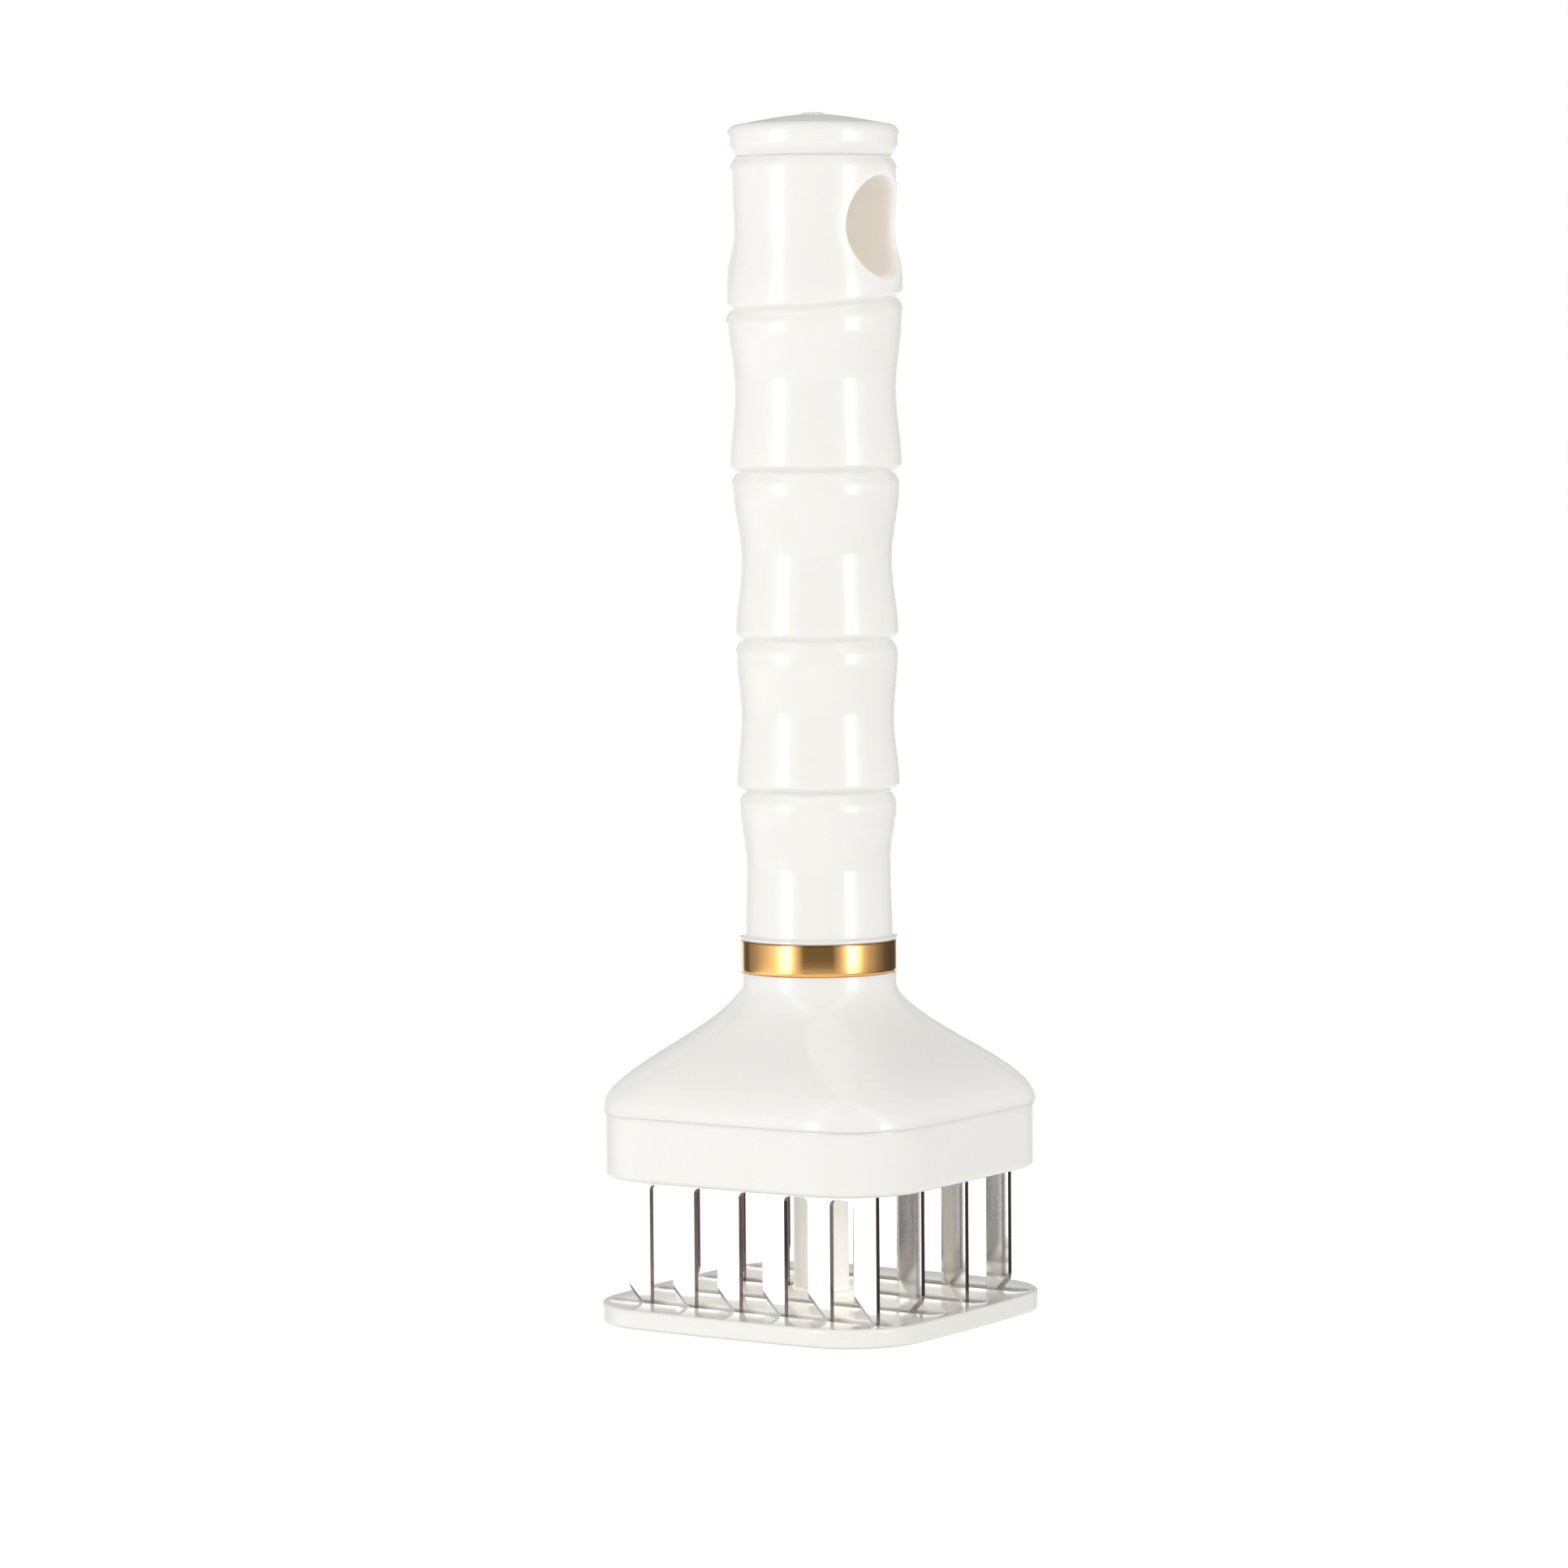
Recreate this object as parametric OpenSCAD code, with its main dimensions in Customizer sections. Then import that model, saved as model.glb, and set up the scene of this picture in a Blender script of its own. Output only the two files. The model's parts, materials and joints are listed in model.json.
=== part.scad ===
// Hand-pushed meat tenderizer: 24 needle blades in four combs, a moulded handle with
// five bamboo-like segments, and a sprung guard plate that slides up on a centre post.
// Millimetres, +Z up. The origin is the middle of the guard plate's underside, X runs
// along the combs and Y across the rows.

/* [Whole tool] */
// Height of the whole tool
tool_h = 183; // [150:1:220]
// Width across the flats of the guard plate
plate_w = 56; // [50:0.5:64]

/* [Handle] */
// Share of the handle's height that each segment takes, from the collar up
segment_share = [22.5, 23, 25.4, 25.6, 22]; // [15:0.1:35]
// Radius of each segment at its lower lip
lip_low_r = [11.5, 12.75, 12.7, 13.4, 13.75]; // [10.5:0.05:18]
// Radius of each segment at its waist
waist_r = [11.25, 11.95, 11.75, 12.55, 12.5]; // [10:0.05:18]
// Radius of each segment at its upper lip
lip_high_r = [12.25, 12.6, 13, 13.55, 12.75]; // [10.5:0.05:18]
// Depth of the groove between two segments
groove_d = 0.9; // [0.3:0.1:1.5]
// Half the width of that groove
groove_w = 1.5; // [0.6:0.1:3]
// Rounding of the lowest segment's lower edge
foot_edge = 0.5; // [0.2:0.1:1]
// Radius of the thin lip under the lowest segment
foot_lip_r = 12.1; // [11:0.05:13]
// Height of that lip
foot_lip_h = 0.45; // [0.3:0.05:1]
// Radius of the bore that holds the spring
bore_r = 7; // [6.8:0.05:8]
// Radius of the spigot under the handle
spigot_r = 9; // [8.6:0.05:9.6]
// Length of the spigot below the collar
spigot_h = 8; // [5:0.5:9]

/* [Hang hole] */
// Radius of the hole through the top segment
hang_r = 6.75; // [3:0.05:7.5]
// Place of the hole in the top segment, as a share of its height from the top
hang_place = 0.49; // [0.46:0.0025:0.5]
// How far the hole's mouth opens out
hang_flare = 1.4; // [0.4:0.1:1.8]
// Length over which each mouth opens out
hang_mouth = 3.2; // [1:0.1:4]

/* [End cap] */
// Radius of the cap
cap_r = 13.1; // [12:0.1:18]
// Height of the cap's rim
cap_h = 4.7; // [3:0.1:8]
// Rise of the shallow dome
cap_dome = 1.7; // [0.5:0.1:4]
// Radius of the nib in the middle of the dome
nib_r = 1.7; // [0.8:0.1:3]
// Height of the nib
nib_h = 0.3; // [0.2:0.1:1.5]
// Radius of the plug under the cap
plug_r = 4; // [2:0.1:7]
// Depth of that plug
plug_h = 1.2; // [0.5:0.1:1.8]

/* [Collar ring] */
// Greatest radius of the ring
ring_r = 12.05; // [11:0.05:16]
// Height of the ring
ring_h = 5; // [3:0.1:9]
// How far the ring's edges draw in from its middle
ring_crown = 0.1; // [0.05:0.05:1.2]

/* [Head] */
// How far the skirt's sides lie inside the guard plate's
skirt_inset = 0.5; // [0.1:0.1:1.5]
// Corner radius of the skirt
skirt_r = 12.7; // [10:0.1:14]
// Sagitta of each side of the skirt
skirt_bow = 0.5; // [0.2:0.1:1.5]
// Height of the skirt
skirt_h = 9.85; // [8:0.05:12]
// Height of the shell above the skirt
shell_h = 20.7; // [18:0.1:24]
// Wall of the skirt and the shell
wall = 2.2; // [1.6:0.1:2.4]
// How far the shell's rim overhangs the skirt
shell_lap = 0.25; // [0.1:0.05:0.5]
// Radius of the neck
neck_r = 12; // [11.5:0.05:13]
// Thickness of the web that carries the guide bush
web_t = 2.1; // [1.5:0.1:3]
// Thickness of the floor that the combs pass through
floor_t = 2.4; // [2:0.1:3]
// How far the floor lies above the skirt's lower edge
floor_up = 1.05; // [0.6:0.05:1.5]
// Height of the lip that locates the shell
lip_h = 1.3; // [0.6:0.1:2]
// Thickness of that lip
lip_t = 1.1; // [0.8:0.1:1.5]

/* [Blade combs] */
// Number of rows
rows = 4; // [4:1:4]
// Tines on each comb
tines = 6; // [4:1:6]
// Distance from the skirt's side to the middle of an outer row
row_inset = 8.6; // [8:0.05:9.2]
// Distance from the skirt's side to the end of a comb
comb_inset = 5.125; // [4.5:0.125:7]
// Width of a tine
tine_w = 4; // [2.5:0.1:5]
// Thickness of the comb sheet
sheet_t = 0.95; // [0.6:0.05:1.2]
// Corner radius in the gap between two tines
gap_r = 0.9; // [0.3:0.1:1.2]
// How far the gaps' upper ends lie below the skirt
gap_below = 1.35; // [0.5:0.05:3]
// Height of the comb's bridge above the gaps
bridge_h = 13.6; // [11:0.1:14.5]
// Height of the ground bevel at a tip
bevel_h = 3.4; // [1.5:0.1:5]
// Width of the flat left at a tip
tip_flat = 0.9; // [0.3:0.1:1.5]
// Width of the ground facets along a bevel
facet_w = 0.7; // [0.4:0.05:1]
// Thickness left at the edge between a tip's two facets
edge_t = 0.2; // [0.1:0.05:0.3]
// How far each comb's longest tine dips into the guard plate, from the front row back
tip_dip = [1.55, 1.9, 1.85, 1.9]; // [1.3:0.05:2.4]
// How much shorter a comb's last tine is than its first
tip_skew = 1.25; // [0:0.05:1.5]

/* [Comb rods] */
// Radius of a cross rod
rod_r = 1.25; // [1:0.05:1.5]
// Distance from the skirt's side to a rod
rod_inset = 13.5; // [12.5:0.1:15]
// Height of the rods above the floor
rod_up = 3.3; // [2.6:0.1:4]
// Outer radius of a spacer sleeve
spacer_r = 2.4; // [1.8:0.1:2.5]
// Length of the blocks that hold the rods
block_l = 5.2; // [4:0.1:6]
// Width of those blocks
block_w = 2.4; // [1.8:0.1:2.6]

/* [Guide bush] */
// Wall of the bush
bush_wall = 1.3; // [1:0.05:1.4]
// Thickness of the flange
flange_t = 1.5; // [1:0.1:2.5]
// Length of the sleeve below the web
sleeve_h = 4.8; // [2:0.1:5]

/* [Guard plate] */
// Corner radius of the guard plate
plate_r = 12.2; // [9:0.1:14]
// Sagitta of each side of the guard plate
plate_bow = 1.2; // [0.3:0.1:2]
// Thickness of the guard plate
plate_t = 2.9; // [2.6:0.1:3.5]
// Rounding of the plate's rim
plate_edge = 0.5; // [0.3:0.1:1.3]
// Width of the slots
slot_w = 3.4; // [2.4:0.1:5]
// How far a slot runs past the outer tines
slot_end = 3.2; // [1.5:0.1:3.3]
// Height of the collar round the foot of the post
collar_h = 1.1; // [0.5:0.1:1.4]
// Wall of that collar
collar_wall = 1; // [0.8:0.1:2]

/* [Guide post] */
// Radius of the post
post_r = 4.25; // [3.8:0.05:4.3]
// Clear height between the guard plate and the skirt at rest
guard_gap = 19.35; // [14:0.05:26]
// Height left between the plate and the skirt when pushed home
home_gap = 0.55; // [0.5:0.05:2]
// Radius of the stop washer
washer_r = 6.4; // [5.5:0.05:6.6]
// Thickness of the stop washer
washer_t = 1.2; // [0.8:0.1:2]

/* [Return spring] */
// Outer radius of the spring
spring_r = 5.6; // [5:0.05:5.8]
// Radius of the wire
wire_r = 0.4; // [0.3:0.05:0.5]
// Number of turns
spring_turns = 12; // [8:1:14]
// Length of the spring at rest
spring_h = 38; // [34:0.5:42]
// Thickness of the spring seat
seat_t = 1.7; // [1:0.1:3]
// Length of the seat's pilot
pilot_h = 3; // [2:0.1:5]

/* [Screws] */
// Radius of a screw's shank
shank_r = 1.1; // [0.8:0.05:1.3]
// Radius of a screw's head
head_r = 2.1; // [1.8:0.05:2.4]
// Height of a screw's head
head_h = 1.2; // [0.8:0.1:1.5]
// Length of a shank in the part that it holds
grip_l = 7; // [4:0.5:8]
// Depth of the cross recess in a head
recess_d = 0.7; // [0.3:0.1:0.9]
// Distance from the skirt's side to a base screw
screw_inset = 7.2; // [6.5:0.1:8]

/* [Fits] */
// Radial clearance of the sliding post
slide_fit = 0.05; // [0.03:0.01:0.1]
// Clearance between pieces that are assembled and stay put
seat_fit = 0.05; // [0.02:0.01:0.1]
// Clearance round what passes freely through a wall
pass_fit = 0.3; // [0.15:0.05:0.4]

/* [Hidden] */

warm_white = "#f3f1ea";
gold = "#d9a441";
steel = "#c9ccce";
dark_steel = "#8d9194";

round_fn = 96;
small_fn = 48;
outline_steps = 56;
over = 1;
sink = 0.5;
seam_ease = 0.15;

// Levels, from the guard plate up
skirt_z = plate_t + guard_gap;
floor_z = skirt_z + floor_up;
floor_top = floor_z + floor_t;
seam_z = skirt_z + skirt_h;
neck_z = seam_z + shell_h;
handle_z = neck_z + ring_h;
handle_top = tool_h - cap_h - cap_dome - nib_h;
segments = len(segment_share);
share_h = (handle_top - handle_z) / shares_below(segments);
segment_h = [for (share = segment_share) share * share_h];
spigot_z = neck_z - spigot_h;
web_z = spigot_z - flange_t;
roof_z = web_z - web_t;
stop_z = spigot_z;
washer_top = stop_z + washer_t;
seat_z = washer_top + spring_h;
bore_top = seat_z + seat_t;
rod_z = floor_top + rod_up;
gap_top_z = skirt_z - gap_below;
comb_top_z = gap_top_z + bridge_h;
hang_z = handle_top - hang_place * segment_h[segments - 1];

// Sizes that follow
skirt_w = plate_w - 2 * skirt_inset;
row_pitch = (skirt_w - 2 * row_inset) / (rows - 1);
comb_w = skirt_w - 2 * comb_inset;
tine_pitch = (comb_w - tine_w) / (tines - 1);
rod_span = skirt_w - 2 * rod_inset;
screw_span = skirt_w - 2 * screw_inset;
bush_r = post_r + slide_fit;
slot_l = comb_w + 2 * slot_end;
shell_w = skirt_w + 2 * shell_lap;
inner_w = skirt_w - 2 * wall;
rod_l = (rows - 1) * row_pitch + sheet_t + 2 * block_w + 2 * pass_fit;
block_y = ((rows - 1) * row_pitch + sheet_t) / 2 + pass_fit;
shaft_hole_r = shank_r + seat_fit;
wire_turn_r = spring_r - wire_r;

// Shares of the first n segments, taken together
function shares_below(n) = n == 0 ? 0 : segment_share[n - 1] + shares_below(n - 1);

// Place of a row's middle along Y
function row_y(i) = (i - (rows - 1) / 2) * row_pitch;

// Reach of a bowed, rounded square from its centre in the direction a
function bow_radius(half, bow) = (half * half + bow * bow) / (2 * bow);
function fold(a) = let (b = a - 90 * floor(a / 90)) b > 45 ? 90 - b : b;
function corner_at(half, r, side) =
    let (e = half - side) (e + sqrt(2 * pow(side - r, 2) - e * e)) / 2;
function reach(a, half, r, bow) =
    let (
        side = bow_radius(half, bow),
        e = half - side,
        c = corner_at(half, r, side),
        turn = atan2(c, c - e),
        change = atan2(side * sin(turn), e + side * cos(turn)),
        b = fold(a),
        d = c * (cos(b) + sin(b))
    )
    b < change
        ? e * cos(b) + sqrt(side * side - pow(e * sin(b), 2))
        : d + sqrt(d * d - 2 * c * c + r * r);

function outline(half, r, bow, n = outline_steps) = [
    for (i = [0:n - 1])
        let (a = 360 * i / n) reach(a, half, r, bow) * [cos(a), sin(a)]
];

// Solid through a stack of such outlines, each level being [height, half, radius, bow]
module loft(levels, n = outline_steps) {
    last = len(levels) - 1;
    points = [
        for (s = levels)
            for (p = outline(s[1], s[2], s[3], n)) [p[0], p[1], s[0]]
    ];
    sides = [
        for (k = [0:last - 1])
            for (i = [0:n - 1])
                for (f = [
                    [k * n + i, (k + 1) * n + i, (k + 1) * n + (i + 1) % n],
                    [k * n + i, (k + 1) * n + (i + 1) % n, k * n + (i + 1) % n]
                ]) f
    ];
    low = [[for (i = [0:n - 1]) i]];
    high = [[for (i = [n - 1:-1:0]) last * n + i]];
    polyhedron(points = points, faces = concat(low, sides, high), convexity = 4);
}

// Half a segment's swell: 1 at its lip, 0 at its waist
function swell(u) = pow(cos(90 * u), 2);
function segment_r(k, u) =
    u < 0.5
        ? waist_r[k] + (lip_low_r[k] - waist_r[k]) * swell(2 * u)
        : waist_r[k] + (lip_high_r[k] - waist_r[k]) * swell(2 - 2 * u);

// Outline of one segment from its lower cusp to its upper one, with round lips
function segment_skin(k, steps = 7) =
    let (
        low = handle_z + (k == 0 ? foot_lip_h : shares_below(k) * share_h),
        high = handle_z + shares_below(k + 1) * share_h,
        deep = k == 0 ? foot_edge : groove_d,
        wide = k == 0 ? foot_edge : groove_w
    )
    concat(
        [for (a = [0:30:60]) [lip_low_r[k] - deep * (1 - sin(a)), low + wide * (1 - cos(a))]],
        [
            for (i = [0:steps])
                let (u = i / steps)
                    [segment_r(k, u), low + wide + (high - groove_w - low - wide) * u]
        ],
        [
            for (a = [60:-30:0])
                [lip_high_r[k] - groove_d * (1 - sin(a)), high - groove_w * (1 - cos(a))]
        ]
    );

// Cutter for the round hole along X, whose mouths open out like trumpets
module hang_cutter() {
    reach_x = max(lip_low_r[segments - 1], cap_r) + over;
    start = waist_r[segments - 1] - hang_mouth;
    mouth = [
        for (a = [0:30:90])
            [hang_r + hang_flare * (1 - cos(a)), start + hang_mouth * sin(a)]
    ];
    other = [for (i = [len(mouth) - 1:-1:0]) [mouth[i][0], -mouth[i][1]]];
    rotate([0, 90, 0])
        rotate_extrude($fn = round_fn)
            polygon(concat(
                [[0, -reach_x], [hang_r + hang_flare, -reach_x]],
                other,
                mouth,
                [[hang_r + hang_flare, reach_x], [0, reach_x]]
            ));
}

module handle_body() {
    lip_edge = foot_lip_h / 3;
    foot_lip = [
        [foot_lip_r - lip_edge, handle_z],
        [foot_lip_r, handle_z + lip_edge],
        [foot_lip_r, handle_z + foot_lip_h - lip_edge],
        [foot_lip_r - lip_edge, handle_z + foot_lip_h]
    ];
    skin = [for (k = [0:segments - 1]) each segment_skin(k)];
    color(warm_white)
        difference() {
            rotate_extrude($fn = round_fn)
                polygon(concat(
                    [[0, spigot_z], [spigot_r, spigot_z], [spigot_r, handle_z]],
                    foot_lip, skin,
                    [[0, handle_top]]
                ));
            translate([0, 0, spigot_z - over])
                cylinder(r = bore_r, h = bore_top - spigot_z + over, $fn = round_fn);
            translate([0, 0, hang_z])
                hang_cutter();
            translate([0, 0, handle_top - plug_h - seat_fit])
                cylinder(r = plug_r + seat_fit, h = plug_h + over, $fn = small_fn);
        }
}

module end_cap() {
    top = handle_top + cap_h;
    edge = 1.1;
    dome = [
        for (i = [0:6])
            [cap_r - edge - (cap_r - edge - nib_r) * i / 6, top + cap_dome * sin(15 * i)]
    ];
    shoulder = [for (a = [0:30:60]) [cap_r - edge * (1 - cos(a)), top - edge * (1 - sin(a))]];
    color(warm_white)
        rotate_extrude($fn = round_fn)
            polygon(concat(
                [[0, handle_top - plug_h], [plug_r, handle_top - plug_h], [plug_r, handle_top]],
                [[cap_r - groove_d, handle_top], [cap_r - groove_d / 3, handle_top + groove_w / 6]],
                [[cap_r, handle_top + groove_w / 2]],
                shoulder, dome,
                [[nib_r, top + cap_dome + nib_h], [0, top + cap_dome + nib_h]]
            ));
}

module collar_ring() {
    steps = 6;
    face = [
        for (i = [0:steps])
            let (u = 2 * i / steps - 1) [ring_r - ring_crown * u * u, neck_z + ring_h * i / steps]
    ];
    color(gold)
        rotate_extrude($fn = round_fn)
            polygon(concat(
                [[spigot_r + seat_fit, neck_z]], face, [[spigot_r + seat_fit, handle_z]]
            ));
}

// Bell from a rounded square at its rim to a circle at its neck
function ease(t) = t * t * (3 - 2 * t);
function rise(t, low, high, low_pull, high_pull) =
    pow(1 - t, 3) * low + 3 * t * pow(1 - t, 2) * (low + low_pull)
    + 3 * t * t * (1 - t) * (high - high_pull) + pow(t, 3) * high;

module head_shell() {
    neck_straight = 1.4;
    rim_straight = 0.4;
    foot_pull = 6.1;
    neck_pull = 6.3;
    roof_pull = 2;
    cavity_pull = 3;
    lip_room = 0.3;
    steps = 14;
    outer = concat(
        [[seam_z, shell_w / 2 - seam_ease, skirt_r, skirt_bow]],
        [
            for (i = [0:steps])
                let (t = i / steps, w = ease(t))
                    [
                        rise(
                            t, seam_z + rim_straight, neck_z - neck_straight, foot_pull, neck_pull
                        ),
                        shell_w / 2 + (neck_r - shell_w / 2) * w,
                        skirt_r + (neck_r - skirt_r) * w,
                        skirt_bow
                    ]
        ],
        [[neck_z, neck_r, neck_r, skirt_bow]]
    );
    roof_half = spigot_r + wall;
    cavity = concat(
        [[seam_z - over, inner_w / 2, skirt_r - wall, skirt_bow]],
        [
            for (i = [0:6])
                let (t = i / 6, w = ease(t))
                    [
                        rise(t, seam_z + lip_h + lip_room, roof_z, cavity_pull, roof_pull),
                        inner_w / 2 + (roof_half - inner_w / 2) * w,
                        skirt_r - wall + (roof_half - skirt_r + wall) * w,
                        skirt_bow
                    ]
        ]
    );
    color(warm_white) {
        difference() {
            loft(outer);
            loft(cavity);
            translate([0, 0, web_z])
                cylinder(r = spigot_r + seat_fit, h = neck_z - web_z + over, $fn = round_fn);
            translate([0, 0, roof_z - over])
                cylinder(
                    r = bush_r + bush_wall + seat_fit,
                    h = web_t + 2 * over,
                    $fn = round_fn
                );
        }
        shell_bosses();
    }
}

// Bosses that take the base screws, from the cavity's roof down to the floor
module shell_bosses() {
    boss_r = head_r + sink;
    boss_rise = 5;
    boss_top = seam_z + boss_rise;
    for (x = [-1, 1], y = [-1, 1])
        translate([x * screw_span / 2, y * row_pitch, floor_top + seat_fit])
            difference() {
                cylinder(r = boss_r, h = boss_top - floor_top, $fn = small_fn);
                translate([0, 0, -over])
                    cylinder(r = shaft_hole_r, h = grip_l + over + sink, $fn = small_fn);
            }
}

module head_base() {
    half = skirt_w / 2;
    edge = 0.8;
    skin = concat(
        [
            for (a = [0:30:90])
                let (draw = edge * (1 - sin(a)))
                    [skirt_z + edge * (1 - cos(a)), half - draw, skirt_r - draw, skirt_bow]
        ],
        [[seam_z - seam_ease, half, skirt_r, skirt_bow]],
        [[seam_z, half - seam_ease, skirt_r, skirt_bow]]
    );
    color(warm_white) {
        difference() {
            union() {
                loft(skin);
                locating_lip();
            }
            translate([0, 0, skirt_z - over])
                linear_extrude(floor_up + over)
                    polygon(outline(inner_w / 2, skirt_r - wall, skirt_bow));
            base_cavity();
            for (i = [0:rows - 1])
                translate([
                    -comb_w / 2 - pass_fit,
                    row_y(i) - sheet_t / 2 - pass_fit / 2,
                    skirt_z - over
                ])
                    cube([comb_w + 2 * pass_fit, sheet_t + pass_fit, skirt_h]);
            translate([0, 0, skirt_z - over])
                cylinder(r = post_r + pass_fit, h = skirt_h, $fn = round_fn);
            for (x = [-1, 1], y = [-1, 1])
                translate([x * screw_span / 2, y * row_pitch, skirt_z - over]) {
                    cylinder(r = shank_r + pass_fit / 2, h = skirt_h, $fn = small_fn);
                    cylinder(r = head_r + pass_fit / 2, h = over + floor_up + head_h, $fn = small_fn);
                }
        }
        rod_blocks();
    }
}

// Upstand inside the skirt's upper edge that centres the shell
module locating_lip() {
    translate([0, 0, seam_z - over])
        linear_extrude(over + lip_h)
            polygon(outline(inner_w / 2 - seat_fit, skirt_r - wall, skirt_bow));
}

// Space above the floor, which narrows where the lip thickens the wall
module base_cavity() {
    lip_foot = 2;
    translate([0, 0, floor_top])
        linear_extrude(seam_z - lip_foot - floor_top)
            polygon(outline(inner_w / 2, skirt_r - wall, skirt_bow));
    translate([0, 0, floor_top + over])
        linear_extrude(skirt_h + lip_h)
            polygon(outline(inner_w / 2 - lip_t, skirt_r - wall - lip_t, skirt_bow));
}

// Blocks on the floor that hold the ends of the two rods
module rod_blocks() {
    cover = 1.4;
    top = rod_z + rod_r + cover;
    for (x = [-1, 1], y = [-1, 1])
        translate([x * rod_span / 2, y * (block_y + block_w / 2), 0])
            difference() {
                translate([-block_l / 2, -block_w / 2, floor_top - sink])
                    cube([block_l, block_w, top - floor_top + sink]);
                translate([0, 0, rod_z])
                    rotate([90, 0, 0])
                        cylinder(
                            r = rod_r + seat_fit,
                            h = block_w + 2 * over,
                            center = true,
                            $fn = small_fn
                        );
            }
}

module guide_bush() {
    color("#e4e2da")
        difference() {
            union() {
                translate([0, 0, web_z])
                    cylinder(r = spigot_r - seat_fit, h = flange_t, $fn = round_fn);
                translate([0, 0, roof_z - sleeve_h])
                    cylinder(r = bush_r + bush_wall, h = web_t + sleeve_h + over, $fn = round_fn);
            }
            translate([0, 0, roof_z - sleeve_h - over])
                cylinder(r = bush_r, h = web_t + sleeve_h + flange_t + 2 * over, $fn = round_fn);
        }
}

// Height of a tine's tip above that of the comb's first tine
function tip_step(i) = tip_skew * i / (tines - 1);

// Flat pattern of a comb, tips down, seen from the front
module comb_profile(tip_z) {
    left = -comb_w / 2;
    difference() {
        translate([left, tip_z - over])
            square([comb_w, comb_top_z - tip_z + over]);
        for (i = [0:tines - 2])
            gap_cutter(left + i * tine_pitch + tine_w, tip_z - over);
        for (i = [0:tines - 1])
            translate([left + i * tine_pitch, tip_z + tip_step(i)])
                polygon([
                    [-over, -tip_skew - 2 * over],
                    [tine_w + over, -tip_skew - 2 * over],
                    [tine_w + over, 0],
                    [tine_w - tip_flat, 0],
                    [0, bevel_h],
                    [-over, bevel_h]
                ]);
        for (x = [-1, 1])
            translate([x * rod_span / 2, rod_z])
                circle(r = rod_r + seat_fit, $fn = small_fn);
    }
}

// Gap between two tines, with round upper corners
module gap_cutter(x, low) {
    w = tine_pitch - tine_w;
    r = min(gap_r, w / 2 - 0.1);
    translate([x, low - over])
        square([w, gap_top_z - r - low + over]);
    translate([x + r, gap_top_z - r - over])
        square([w - 2 * r, r + over]);
    for (cx = [x + r, x + w - r])
        translate([cx, gap_top_z - r])
            circle(r = r, $fn = small_fn);
}

// Two wedges that grind the facets along one tine's bevel, down to a narrow edge
module facet_cutter(x, tip_z) {
    slant = atan2(bevel_h, tine_w - tip_flat);
    slant_l = norm([bevel_h, tine_w - tip_flat]);
    slope = (sheet_t - edge_t) / 2 / facet_w;
    for (side = [0, 1])
        translate([x, tip_z + bevel_h, 0])
            mirror([0, 0, side])
                rotate([0, 0, -slant])
                    translate([-over, 0, 0])
                        rotate([90, 0, 90])
                            linear_extrude(slant_l + 2 * over)
                                polygon([
                                    [-over, edge_t / 2 - over * slope],
                                    [facet_w + over / slope, sheet_t / 2 + over],
                                    [-over, sheet_t / 2 + over]
                                ]);
}

// The even combs are turned half round, so their bevels face right
module blade_comb(i) {
    tip_z = plate_t - tip_dip[i];
    color(steel)
        translate([0, row_y(i), 0])
            rotate([90, 0, i % 2 == 1 ? 180 : 0])
                difference() {
                    linear_extrude(sheet_t, center = true)
                        comb_profile(tip_z);
                    for (k = [0:tines - 1])
                        facet_cutter(-comb_w / 2 + k * tine_pitch, tip_z + tip_step(k));
                }
}

module comb_rods() {
    color(dark_steel)
        for (x = [-1, 1])
            translate([x * rod_span / 2, 0, rod_z])
                rotate([90, 0, 0])
                    cylinder(r = rod_r, h = rod_l, center = true, $fn = small_fn);
}

// Sleeves on the rods that keep the combs apart
module comb_spacers() {
    l = row_pitch - sheet_t - 2 * seat_fit;
    color(warm_white)
        for (x = [-1, 1], i = [0:rows - 2])
            translate([x * rod_span / 2, (row_y(i) + row_y(i + 1)) / 2, rod_z])
                rotate([90, 0, 0])
                    difference() {
                        cylinder(r = spacer_r, h = l, center = true, $fn = small_fn);
                        cylinder(r = rod_r + seat_fit, h = l + 2 * over, center = true, $fn = small_fn);
                    }
}

// Screw with its head down and its shank up, seated at z = 0 under the head's upper face
module screw(shank_l) {
    blade_w = 0.6;
    difference() {
        translate([0, 0, -head_h])
            cylinder(r = head_r, h = head_h, $fn = small_fn);
        for (a = [0, 90])
            rotate([0, 0, a])
                translate([-head_r * 0.6, -blade_w / 2, -head_h - over])
                    cube([head_r * 1.2, blade_w, over + recess_d]);
    }
    translate([0, 0, -0.2])
        cylinder(r = shank_r, h = shank_l + 0.2, $fn = small_fn);
}

module base_screws() {
    seat = floor_z + head_h;
    color(dark_steel)
        for (x = [-1, 1], y = [-1, 1])
            translate([x * screw_span / 2, y * row_pitch, seat])
                screw(floor_top - seat + grip_l);
}

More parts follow.
